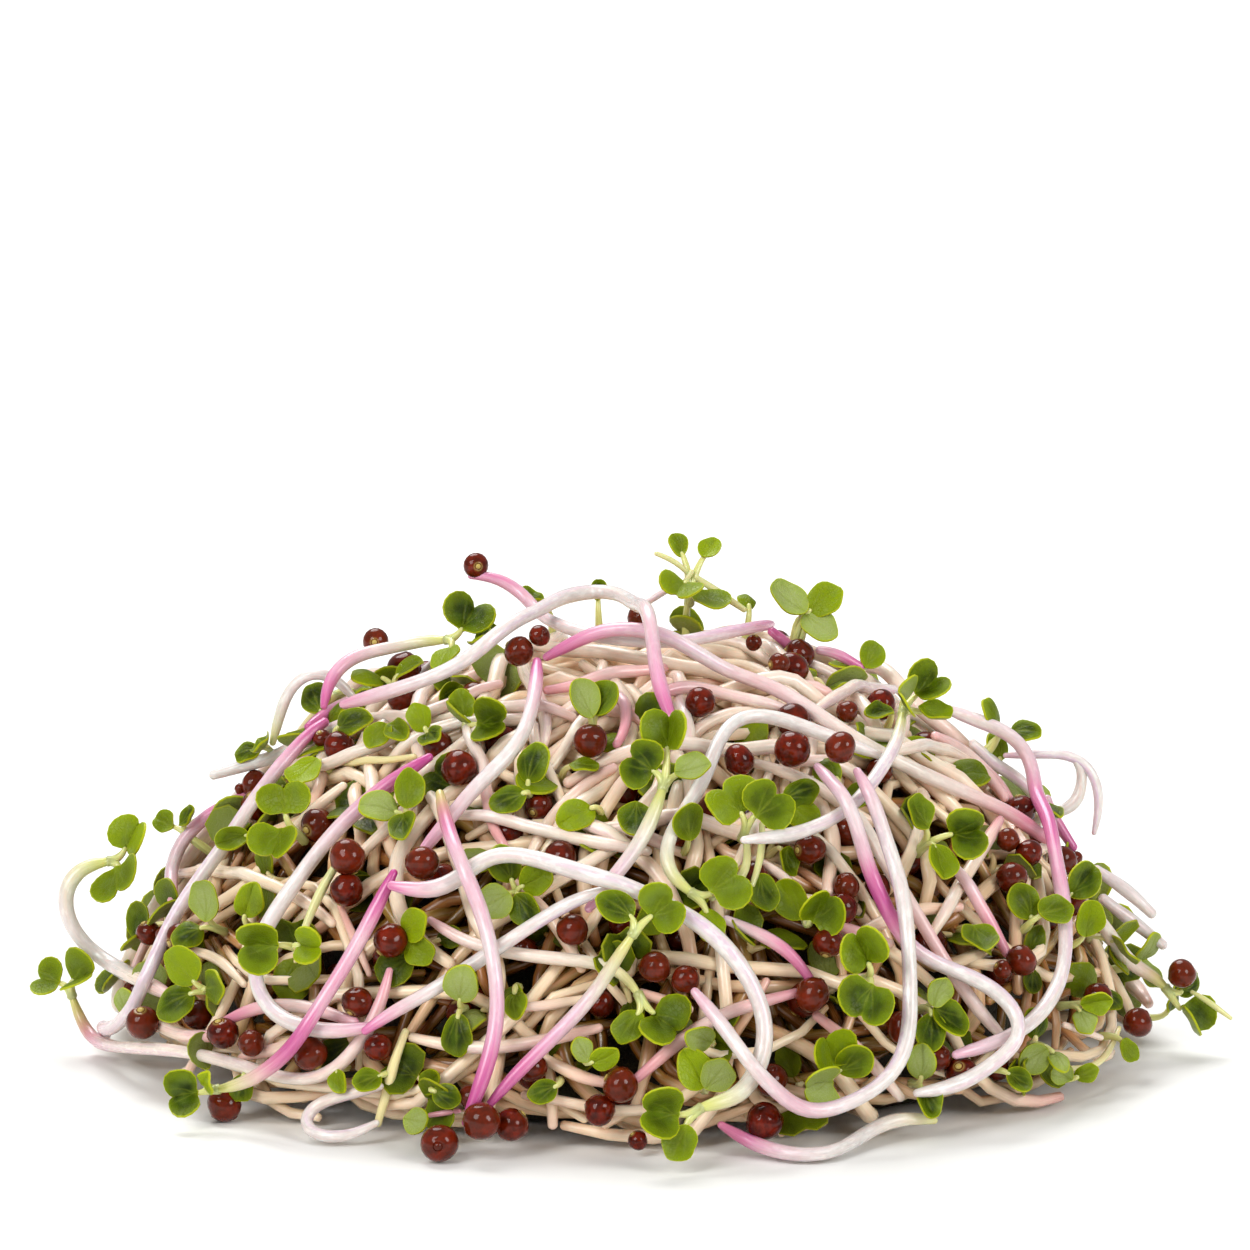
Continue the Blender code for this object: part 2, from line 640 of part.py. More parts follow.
def back_sprouts(pile):
    """Whole sprouts on the side away from the eye, by a seeded rule."""
    draw = random.Random(SEED_OF_BACK_DRAW)
    for k in range(BACK_SPROUTS):
        turn = math.radians(25 + 130 * (k + 0.5) / BACK_SPROUTS)
        rise = 0.42 + 0.4 * ((k * 0.618) % 1)
        flat = math.sqrt(1 - rise * rise)
        facing = np.array([flat * math.cos(turn), flat * math.sin(turn), rise])
        route = arc_over_heap(draw, facing, draw.uniform(0.7, 0.95), LOWEST_LAYER + 1.0, 0.0)
        leaves = [(draw.uniform(0, 360), 1.8, draw.uniform(5.5, 7))]
        leaves.append((leaves[0][0] + draw.uniform(130, 190), 1.8, draw.uniform(4.5, 6.5)))
        yield f"back_{k + 1}", lay_sprout(pile, None, 0, [], leaves, at_back=route)


def build_sprout(pile, name, laid, finishes):
    """The solids of one sprout: its stem, its leaves and its seed coats."""
    line, radii, joint, parts, seeds = laid
    white, green, red = finishes
    if len(line) > 1:
        add_node(name + "_stem", [tube(*thin_out(line, radii, 0.12), STEM_SIDES)], white)
        pile.add(line, radii)
    if parts:
        root = line[-1] + joint
        ahead = unit(joint) if np.linalg.norm(joint) > 0 else -outward(root)
        shapes = [tube(np.array([root - ahead * 0.25, root + ahead * 0.9]), np.array([0.62, 0.5]), 5)]
        for part in parts:
            base, direction = part[0], part[1]
            ends = np.array([root, root + base + direction * (part[6] * 0.3)])
            shapes.append(tube(ends, np.array([STALK_RADIUS, STALK_RADIUS * 0.8]), STALK_SIDES))
            shapes.append(blade(root, part))
        add_node(name + "_leaves", shapes, green)
        balls = leaf_balls(parts) + root
        pile.add(balls, np.full(len(balls), BLADE_THICKNESS * 0.65))
    if seeds:
        shapes = [ball(line[end] + offset, radius, 6, 8) for end, offset, radius in seeds]
        add_node(name + "_seeds", shapes, red)
        for end, offset, radius in seeds:
            pile.add((line[end] + offset)[None], np.array([radius]))


def build():
    clear_scene()
    white = material("stem_white", (0.86, 0.74, 0.72), 0.35)
    green = material("leaf_green", (0.16, 0.32, 0.04), 0.5)
    red = material("seed_red", (0.16, 0.02, 0.015), 0.15)
    shade = material("tangle_pink", (0.55, 0.36, 0.30), 0.5)
    pile = Pile()
    inner_tangle(pile, shade)
    for name, laid in front_sprouts(pile):
        build_sprout(pile, name, laid, (white, green, red))
    for name, laid in back_sprouts(pile):
        build_sprout(pile, name, laid, (white, green, red))


build()
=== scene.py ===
"""Radish microgreens: a loose heap of cut sprouts on a pale table.

The sprouts that can be followed by eye lie where the heap's own solids lie. The finer ones
between and under them are laid from their listed routes, or by a seeded rule, and then
eased off each other. Lengths are in millimetres up to the meshes, which are in metres.
"""

import random
from math import atan2, cos, pi, radians, sin, sqrt

import bpy
import numpy as np
from mathutils import Matrix, Vector, kdtree
from numpy.linalg import norm


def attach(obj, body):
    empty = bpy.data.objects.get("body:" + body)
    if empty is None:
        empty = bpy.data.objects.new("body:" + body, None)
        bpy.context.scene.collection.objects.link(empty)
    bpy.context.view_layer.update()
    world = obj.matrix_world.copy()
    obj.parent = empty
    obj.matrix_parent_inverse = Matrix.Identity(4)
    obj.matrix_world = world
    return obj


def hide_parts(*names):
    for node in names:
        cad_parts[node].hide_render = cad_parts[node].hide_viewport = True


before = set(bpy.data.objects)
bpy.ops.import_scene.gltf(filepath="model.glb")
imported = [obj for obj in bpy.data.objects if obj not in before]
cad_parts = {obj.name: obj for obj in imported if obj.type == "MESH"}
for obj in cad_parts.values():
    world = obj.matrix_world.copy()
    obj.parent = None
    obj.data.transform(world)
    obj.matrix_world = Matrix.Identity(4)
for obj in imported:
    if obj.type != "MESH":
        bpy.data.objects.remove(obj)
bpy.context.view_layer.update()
bpy.ops.object.select_all(action="DESELECT")

MM = 0.001

# The dome that the outer sprouts lie on, and how full its shoulders are
HEAP_HALF_WIDTH = 52.0
HEAP_HALF_DEPTH = 41.0
HEAP_HEIGHT = 42.5
HEAP_SHOULDER = 1.43

# The eye that the sprouts are drawn from, in front of the heap and a little above it
EYE_DISTANCE = 600.0
EYE_PITCH = radians(14.0)
VIEW_WIDTH = 125.0
VIEW_MIDDLE = (-0.5, 42.5)
VIEW_RIGHT = np.array([1.0, 0.0, 0.0])
VIEW_UP = np.array([0.0, sin(EYE_PITCH), cos(EYE_PITCH)])
VIEW_IN = np.array([0.0, cos(EYE_PITCH), -sin(EYE_PITCH)])
EYE = -EYE_DISTANCE * VIEW_IN

# Stems and blades, the gap between laid ones, and the steps that routes are cut into
STEM_RADIUS = 0.82
STEM_TIP = 0.72
BLADE_THICKNESS = 0.65
BLADE_POINTS = 12
BLADE_RISES = (14, 24, 34, 46, 58, 70)
GAP = 0.4
OFF_FLOOR = 0.05
FLOOR_LIFT = 1.0
LAYER_RISE = 1.6
LOWEST_LAYER = 0.6
SAMPLE = 0.8
FILL_SAMPLE = 1.1
SIGHT_STEP = 0.5
SIGHT_REACH = (-85.0, 60.0)

# How a laid stem is lifted: a hump's half length, and where a bend may meet its own stem
HUMP = 7.0
OWN_BEND = 6.0
SETTLE_ROUNDS = 140
SETTLED = 0.02

# How the finer strands are eased apart, in rounds of small moves
EASE_ROUNDS = 48
PAIRS_LAST = 8
PAIR_REACH = 2.4
OWN_PLACES = 7
LARGEST_MOVE = 0.6
EASED_GAP = 0.05

# The shaded stems under the main sprouts, and the main sprouts at the back
INNER_STEMS = 44
INNER_SINK = 10.5
INNER_LEVEL = -2.6
INNER_RISE_AT_BACK = 2.8
BACK_SPROUTS = 4

# What each run of random draws starts from
INNER_DRAW = 12
BACK_DRAW = 5
TRACED_DRAW = 9
LONG_BACK_DRAW = 31
FILL_DRAW = 77
MAIN_LOOKS_DRAW = 3
BETWEEN_LOOKS_DRAW = 4

# Each sprout: its name, the layer that it lies in, its route from the root end to the leaf
# end as x and height seen from in front, its seed coats as x, height and radius, and its
# seed leaves as the direction in degrees, the stalk's length and the blade's width.
FRONT_SPROUTS = [
    ("left_loop", 0,
     [(-46, 5.5), (-50.5, 7.8), (-54.2, 10), (-56.6, 13.5), (-56.7, 16.2), (-55.4, 18.4),
      (-53.4, 18.9), (-52.2, 18.8)],
     [], [(62, 1.8, 6.2), (-66, 1.8, 6.6)]),
    ("left_arch", 0,
     [(-27.5, 35), (-29, 37), (-31.4, 38.4), (-33.6, 37.2), (-34.8, 35), (-35.3, 32.5),
      (-35.8, 30.6)],
     [], []),
    ("top_left", 1,
     [(-30.5, 34), (-28, 37.6), (-25.8, 39.3), (-23, 40.5), (-20.2, 41.1), (-18.4, 41)],
     [], [(70, 1.8, 6.8), (-100, 1.8, 4.6)]),
    ("right_arch", 0,
     [(37.5, 29.4), (41, 29.5), (44, 29.8), (46, 28.9), (47, 26.5), (47.1, 24), (46.4, 21.6)],
     [], []),
    ("far_right", 0,
     [(46, 14.5), (47.5, 12), (49.2, 9.5), (51, 7), (52.4, 4.9)],
     [], [(-52, 1.8, 6.0), (28, 1.8, 3.6)]),
    ("right_root", 0, [(59.6, 2.2), (57.6, 2.2), (56, 2.7), (54.8, 3.4)], [], []),
    ("left_low", 0,
     [(-24, 8), (-24.6, 5), (-26, 2.2), (-28.5, -1.4), (-31, -3), (-34, -3), (-38, -1.8),
      (-43, -0.4), (-48, 0.2), (-52, 0.3), (-54.2, 1), (-55, 3.4), (-55.6, 5.2)],
     [], [(172, 1.6, 5.4), (12, 1.6, 6.4)]),
    ("bottom_left_loop", 0,
     [(-24.8, -3.6), (-27, -4.2), (-30, -4.8), (-32.4, -5.6), (-33.3, -6.9), (-32.4, -8.3),
      (-30, -8.9), (-27.4, -8.6), (-25.2, -7.2)],
     [], []),
    ("bottom_wave", 0,
     [(9, -7.4), (11, -8.8), (14, -10), (18, -10.6), (21, -10), (23.2, -8.5), (25, -7.1),
      (27.5, -6.6), (30.4, -7)],
     [], []),
    ("top_right", 1,
     [(14.2, 42.6), (11, 42), (8, 41.4), (5, 40.7), (0, 40.9), (-4, 41.4), (-7.8, 42.8),
      (-12, 44.8), (-15.6, 45.5)],
     [], []),
    ("crest", 0, [(6.2, 47.6)], [], [(128, 1.6, 4.6), (40, 1.6, 4.6), (-110, 2.4, 5.8)]),
    ("long_right", 0,
     [(42, 20.7), (38, 23.7), (33, 25.9), (27.5, 28.4), (23, 30.8), (18.5, 33.7),
      (14.5, 36.3), (9, 37.9), (3, 39.4), (-3, 39.8), (-8.4, 38.9)],
     [(-11, 39.5, 1.55), (-9, 40.9, 1.1)], []),
    ("wide_bend", 1,
     [(25, 29.4), (21.5, 30.7), (16, 32.8), (12.6, 33.8), (9.9, 33), (8.3, 29.5), (7, 26),
      (4.7, 22.8), (3.1, 19.8), (3.9, 17), (6.1, 15.7)],
     [], [(35, 1.8, 6.4), (-75, 1.8, 4.0)]),
    ("top_arch", 2,
     [(-28.8, 34.5), (-23.5, 36), (-17.5, 38.2), (-12.5, 41.3), (-7.5, 44.8), (-3.2, 46.1),
      (-0.2, 45.5), (1.6, 43), (2.4, 39), (3.2, 35.4), (4.2, 33)],
     [], []),
    ("right_leaf", 2,
     [(11, 20.2), (14.5, 20.8), (19, 22.4), (22.5, 24.4), (25, 27.9), (27, 31), (27.3, 33.6)],
     [], [(42, 2.2, 6.2), (-28, 2.4, 4.6), (200, 1.8, 5.0)]),
    ("middle_left", 1,
     [(-9.3, 38.9), (-9.4, 36), (-10.3, 32.2), (-12, 29.4), (-15.5, 26.3), (-18.3, 22.8),
      (-21, 19.6)],
     [], []),
    ("centre_stalk", 1,
     [(-4.2, 14), (-2.6, 16.1), (1, 20.5), (2.6, 23.7), (3.2, 25.6)],
     [], [(18, 1.8, 4.6), (150, 2.0, 5.2), (88, 3.4, 7.2)]),
    ("low_level", 0,
     [(-20, 13), (-16.5, 10.7), (-11, 9.5), (-5, 8.9), (-1.2, 8.4), (0.4, 6.9), (0.8, 5.6)],
     [], [(-38, 1.6, 6.4), (-128, 1.6, 4.2)]),
    ("left_sweep", 1,
     [(-25.5, 2.4), (-28, 1.8), (-32, 2), (-35.6, 3.4), (-37.6, 6.5), (-37.2, 10.8),
      (-34.2, 15.6), (-29.6, 21.8), (-24, 26.7), (-20, 29.3)],
     [(-18.1, 28.5, 1.85)], []),
    ("low_diagonal", 1,
     [(-26, 1.8), (-23.5, 3.6), (-18, 7), (-13, 10.2), (-8, 13.5), (-5, 14.8), (-2.4, 15.6)],
     [], []),
    ("magenta_diagonal", 2,
     [(-23.4, 17.6), (-25.2, 14.2), (-28.2, 8.8), (-30.8, 4.5), (-33.2, 0.5), (-36, -2),
      (-39.5, -3.9), (-41, -3.9)],
     [(-21.6, 18.2, 1.7)], [(192, 1.6, 5.0), (62, 1.6, 3.6)]),
    ("big_bend", 2,
     [(-23.5, 16), (-21, 15.4), (-18.5, 15.7), (-16, 18.2), (-13.4, 19.9), (-9, 19),
      (-4, 17), (2, 15.2), (7.2, 12.4), (11.6, 7.6), (13.7, 2.6), (12.9, -2), (10.2, -5.6),
      (7, -8)],
     [], [(172, 1.9, 7.0), (-114, 1.8, 4.4)]),
    ("low_right_diagonal", 1,
     [(-14, -5.4), (-12, -3), (-8.2, 0.7), (-4, 5), (-1.4, 8.7), (0.2, 10.9)],
     [(-12.3, -7, 1.7)], [(142, 1.8, 4.6), (36, 1.8, 5.2)]),
    ("steep_middle", 2,
     [(-16.4, -7.4), (-14.8, -3.2), (-13.4, 1.6), (-13.2, 6.5), (-14.2, 12), (-16, 17),
      (-18.2, 22), (-19, 25.6)],
     [(-18.3, -8.8, 1.85)], []),
    ("right_low", 0,
     [(23, 23.5), (25.8, 18.2), (29, 13), (31.8, 8.2), (35.5, 3), (37.4, 1.1)], [], []),
    ("right_long", 1,
     [(32.4, -0.5), (36, 0.5), (40, 2.6), (42.9, 6.4), (43.6, 11), (43, 17), (41.2, 23.8),
      (37.5, 29.2), (34, 33), (31.4, 34.2)],
     [], []),
    ("right_loop", 1,
     [(28.5, -4.3), (33.5, -3.4), (37.2, -0.8), (38.3, 2.8), (36.2, 6.2), (31.8, 8),
      (27.6, 10.3), (25, 15.5), (22, 21.2), (19.3, 26.3), (18.6, 28)],
     [(16.1, 29.7, 1.8)], []),
    ("right_swing", 2,
     [(6.4, 5.9), (9.2, 2.5), (12.5, -2.5), (15.4, -5.8), (18.4, -6.5), (23.4, -4.6),
      (27, -1.6), (28, 3.5), (27.6, 11.5), (26.6, 18.2), (24.2, 23.4), (22.3, 27.2)],
     [(21.2, 28.8, 1.6)], []),
    ("left_pair", 2, [(-33.4, 10.2)], [], [(182, 1.6, 7.2), (-8, 1.8, 5.4)]),
    ("left_upper_pair", 1, [(-34.4, 22.6)], [], [(96, 1.6, 5.0), (-98, 1.6, 6.2)]),
    ("right_four_lobes", 3, [(24.4, 7.4)], [], [(118, 1.8, 6.4), (-112, 1.8, 6.8)]),
    ("centre_pair", 1, [(11.5, 21.8)], [], [(124, 1.7, 6.4), (48, 1.7, 6.2)]),
    ("right_upper_group", 1, [(30.2, 21.2)], [],
     [(10, 2.4, 6.4), (-84, 1.7, 4.8), (128, 1.8, 4.4)]),
]

# Where the sprouts above are pink: x and height, how far it runs, and how strong it is
PINK_OF_SPROUTS = {
    "left_low": [(-24, 8, 6, 0.6), (-55, 3.4, 4, 0.9)],
    "left_loop": [(-46, 5.5, 4, 0.3)],
    "top_left": [(-30.5, 34, 7, 0.8)],
    "right_arch": [(37.5, 29.4, 3, 0.2)],
    "far_right": [(52.4, 4.9, 4, 0.6)],
    "bottom_wave": [(9, -7.4, 5, 0.95)],
    "top_right": [(-15.6, 45.5, 7, 0.6), (14.2, 42.6, 8, 0.6)],
    "long_right": [(42, 20.7, 9, 1.0), (-8.4, 38.9, 10, 0.7), (12, 37, 6, 0.25)],
    "top_arch": [(-28.8, 34.5, 5, 0.5), (4.2, 33, 8, 0.7)],
    "middle_left": [(-9.3, 38.9, 5, 0.8), (-21, 19.6, 6, 0.5)],
    "centre_stalk": [(-4.2, 14, 5, 0.5)],
    "low_level": [(-20, 13, 4, 0.5)],
    "left_sweep": [(-20, 29.3, 9, 1.0), (-25.5, 2.4, 4, 0.5)],
    "low_diagonal": [(-26, 1.8, 4, 0.7)],
    "magenta_diagonal": [(-23.4, 17.6, 7, 1.0), (-29, 8, 7, 0.5), (-33.2, 0.5, 6, 0.9)],
    "big_bend": [(-23.5, 16, 4, 0.6)],
    "low_right_diagonal": [(-14, -5.4, 10, 0.9), (0.2, 10.9, 3, 0.4)],
    "steep_middle": [(-16.4, -7.4, 11, 0.95), (-19, 25.6, 8, 1.0), (-15, 14.5, 6, 0.35)],
    "right_low": [(30.5, 10.5, 7, 0.4)],
    "right_long": [(32.4, -0.5, 5, 0.4), (41.5, 23, 7, 0.8), (43, 17, 5, 0.5)],
    "right_loop": [(25, 15.5, 5, 0.9), (19, 27, 5, 0.4)],
    "right_swing": [(22.3, 27.2, 5, 0.4), (6.4, 5.9, 4, 0.4), (16, -6, 5, 0.3)],
}

# Finer sprouts between and behind those: the same, with their pink ends after the route
BETWEEN_SPROUTS = [
    ("left_shoulder", 0.6,
     [(-38.5, 25.5), (-41, 24.3), (-43.2, 22.9), (-45.2, 20.8), (-46.2, 18), (-45.6, 14.8)],
     (0.9, 0.5), [(-33.3, 31.9, 1.5)], []),
    ("left_long", 1.6,
     [(-30.5, 32.8), (-34.2, 29.2), (-38, 24.5), (-41.8, 18.8), (-45.4, 13.8), (-47.2, 10),
      (-48.3, 6), (-50.5, 2.8), (-53.6, 1)],
     (0.8, 0.5), [], []),
    ("left_white_end", 0.6,
     [(-41.8, 27.4), (-39.5, 28), (-36.5, 29.1), (-33, 30.6), (-29, 32.6)],
     (0.0, 0.0), [], []),
    ("left_small", -0.5, [(-44, 10), (-41.5, 9.5), (-39.5, 8.2), (-38.5, 6.5)], (0.1, 0.1), [], []),
    ("left_thin", -0.5, [(-29, 14.5), (-28, 12), (-26.8, 9.5), (-26, 7.5)], (0.9, 0.6), [], []),
    ("left_stalk", 1.8, [(-28.6, 19.6), (-30.2, 17.5), (-31.2, 15.5), (-32, 13.5), (-32.7, 11.6)],
     (0.0, 0.0), [(-28.4, 19.4, 1.8)], []),
    ("left_yellow", -0.4, [(-21.5, 29.3), (-25.5, 28.8), (-28.5, 28.7), (-30, 29)], (0, 0), [], []),
    ("left_lower", 0.8, [(-41, 2.5), (-39, 3.8), (-37, 4.5), (-34.5, 4.7), (-32, 4.4),
                         (-29.5, 3.5), (-27, 2.5)],
     (0.9, 0.5), [(-40.2, 0.8, 1.6)], []),
    ("low_middle", -0.3, [(-22, 1.3), (-20, 0.8), (-17, 0.2), (-13, 0.2), (-9, 0.8), (-6, 1.5),
                          (-3, 2.2)],
     (0.1, 0.5), [], []),
    ("low_short", -0.8, [(-12.5, 4), (-9, 4.2), (-5, 5), (-3.5, 5.3)], (0.3, 0.0), [], []),
    ("middle_level", -0.3, [(-17.2, 23.3), (-12, 22.4), (-6, 21), (-0.5, 20.2), (1.8, 19.6)],
     (0.1, 0.1), [], []),
    ("steep_left", -0.3,
     [(-12.5, 20.3), (-13.3, 22), (-14, 24), (-14.8, 26.5), (-15.5, 29), (-16.2, 31), (-16.4, 32.2)],
     (0.8, 0.0), [], [(100, 1.6, 3.6), (-12, 2.2, 6.2)]),
    ("upper_short", -0.3, [(-3, 36), (-1, 36), (0.2, 34.5), (0, 32), (-1.2, 30.2)], (0.0, 0.8), [], []),
    ("crest_under", -0.6, [(-8.5, 35.8), (-5.5, 36.3), (-2.5, 36.9), (0.5, 37.8), (3.5, 38.2)],
     (0.7, 0.6), [], []),
    ("crest_wave", -0.4,
     [(1, 34.5), (3, 35.5), (5.5, 36.4), (7.5, 36.4), (10, 35.3), (12.5, 34.4), (15, 34.4),
      (17, 33.8)],
     (0.8, 0.1), [], []),
    ("right_ridge", 0.0,
     [(25.5, 29.5), (27.5, 30), (30, 30.2), (32.5, 29.7), (34.5, 28.5), (36, 26.7), (37.5, 25)],
     (0.0, 0.5), [], []),
    ("right_slope", 0.2, [(37, 23), (35.5, 20.5), (34, 18), (32.5, 15.5), (31, 13), (30, 11.2)],
     (0.6, 0.1), [], []),
    ("right_middle", 0.5, [(37.7, 9.5), (36.3, 12), (34.8, 14.5), (33, 17), (31.5, 19.2)],
     (0.9, 0.3), [(39.2, 8.7, 1.6)], []),
    ("right_inner_arch", 0.0, [(44.7, 28.9), (46.1, 27.3), (46.1, 25.4), (45.2, 24.2), (43.8, 23.5),
                               (42.2, 23.2), (40.6, 23.2)],
     (0, 0), [], []),
    ("under_right_long", 0.2, [(30.5, 31.4), (33, 30.2), (35.4, 28.6), (37, 26.8), (38, 25)],
     (0.4, 0.6), [], []),
    ("beside_right_long", 0.0, [(34.2, 30.6), (36.6, 29.6), (38.5, 28), (40, 26.2), (40.9, 24.2)],
     (0.0, 0.1), [], []),
    ("right_edge", 0.0, [(41.5, 25), (43.2, 22.5), (44.3, 20.2)], (0.1, 0.8), [], []),
    ("far_upper", 1.0, [(46.5, 18), (49, 16.5), (51, 15), (52.2, 13.5)], (0.1, 0.0), [], []),
    ("far_middle", 1.0, [(47, 15), (50, 13), (52, 11.5), (53.2, 10.5)], (0.1, 0.0), [], []),
    ("far_green", 0.0, [(48.8, 2.2), (48, 0), (47, -2), (45, -2), (43.2, -1.8)], (0, 0), [], []),
    ("far_low", 0.0, [(43.3, 2.5), (45.5, 2), (47, 1.2)], (0.2, 0), [], []),
    ("loop_return", 0.0,
     [(-22.3, 1.8), (-23, 0.5), (-24, -1.8), (-24.7, -4), (-24.6, -5.6), (-25.2, -7.2)],
     (0, 0), [], []),
    ("loop_thin", 0.0, [(-20, -6.5), (-18.5, -6.3), (-17, -6)], (0.8, 0.8), [], []),
    ("right_front", 0.4,
     [(0.5, -3), (2, -1.7), (4, 0.2), (6, 2), (8.5, 3.3), (11, 4.3), (14, 5), (16.6, 5.7)],
     (0.9, 0.7), [(-1.7, -4.2, 1.8)], []),
    ("front_short", -0.5, [(1, 5.7), (3.5, 5), (6, 4)], (0.6, 0.2), [], []),
    ("red_joint", 1.0, [(18, 7), (16.9, 9.2), (15, 10.7), (12, 12), (9.5, 13)],
     (0.95, 0.0), [(18.2, 4.7, 1.8)], []),
    ("low_right_short", 0.0, [(18.5, 3.5), (20.5, 2), (22.5, 0.5), (24, -1), (25.5, -3), (27, -4.8)],
     (0.7, 0.1), [], []),
    ("right_short", -0.2, [(20, 13), (22, 12), (24, 10.8), (26, 10.5)], (0.7, 0.3), [], []),
    ("centre_thin", 0.0, [(12.5, 19), (15, 17.8), (16.5, 16.5), (17.5, 15.3), (17.7, 12.6)],
     (0.2, 0), [], [(126, 1.6, 5.2), (52, 1.6, 6.2)]),
    ("top_stub", 0.0, [(14.2, 42.6), (15.5, 41), (16.7, 39.6)], (0.8, 0.9), [(17.8, 38.9, 1.6)], []),
    ("top_stub_right", -0.3, [(19, 39.9), (21.5, 39), (23.2, 38.2)], (0.3, 0.7), [], []),
    ("right_crest", 0.2, [(18.5, 34), (20.5, 35.2), (22.5, 36.2), (25, 36.7), (26.5, 36)],
     (0.1, 0), [], []),
    ("crest_stalk", 0.6, [(4.8, 45.6), (5.4, 46.6), (6, 47.8)], (0, 0), [], []),
    ("crest_long", 0.4, [(11.5, 44), (10.5, 44.7), (8.5, 46), (6.6, 47.6)], (0, 0), [], []),
    ("crest_tip", 0.6, [(6, 47.6), (5, 49), (4, 49.4), (2.6, 49.7)], (0, 0), [], []),
    ("centre_pair_left", 1.6, [(8.1, 15.1), (10.2, 15.6), (11.8, 16.9), (12.4, 18.8), (11.5, 21.6)],
     (0, 0), [], []),
    ("centre_pair_right", 1.4, [(12.2, 16.4), (13, 18.4), (13.6, 20.6), (13.2, 22.6)],
     (0, 0), [], []),
    ("crest_left", 0.0, [(1.5, 44.6), (2.5, 46), (4.5, 46.5)], (0.1, 0), [], []),
    ("low_centre", -0.6, [(-9.5, -0.5), (-6.5, -2.2), (-3.5, -3.2), (-1, -3.6)], (0.3, 0.6), [], []),
    ("low_left_floor", -0.2, [(-39, -0.8), (-36, -0.2), (-33, 0.8), (-30, 2.0), (-27.5, 2.6)],
     (0.5, 0.3), [], []),
    ("left_floor", 0.0, [(-49, 3.8), (-47, 2.2), (-44.5, 1.2), (-42, 0.9), (-39.6, 1.6)],
     (0.3, 0.6), [], []),
    ("upper_cross", -0.4,
     [(-33, 27.6), (-29, 28.4), (-25, 30.2), (-21, 32.6), (-17, 35), (-13, 36.6)],
     (0.1, 0.3), [], []),
    ("upper_level", -0.8,
     [(-28, 33), (-23.5, 32.6), (-19, 33), (-14.5, 33.6), (-10, 33.9), (-5.6, 33.2)],
     (0.4, 0.3), [], []),
    ("centre_cross", -1.0, [(-1.5, 28.2), (-4.5, 26.4), (-7, 24.2), (-9, 21.4), (-10.3, 18.6)],
     (0.4, 0.1), [], []),
    ("right_cross", -0.8, [(12.2, 28.6), (15.2, 27.6), (18.2, 26), (21, 24.2), (24.5, 22.6)],
     (0.1, 0.2), [], []),
    ("right_low_cross", -0.6, [(20.5, 9.8), (23, 11.8), (26, 13.2), (29.6, 14.2), (33, 14.2)],
     (0.2, 0.5), [], []),
    ("left_cross", -0.6, [(-45, 17.6), (-41, 17.8), (-37, 17), (-33, 15.2), (-29.6, 12.6)],
     (0.2, 0.2), [], []),
    ("left_inner", -0.8, [(-44, 12.6), (-40.5, 14.8), (-36.4, 18.6), (-32.4, 23.2), (-28.6, 26.4)],
     (0.3, 0.1), [], []),
    ("centre_low_cross", -0.8, [(-12, 17), (-9, 14.5), (-6.5, 11.5), (-4.8, 8)], (0.5, 0.3), [], []),
]

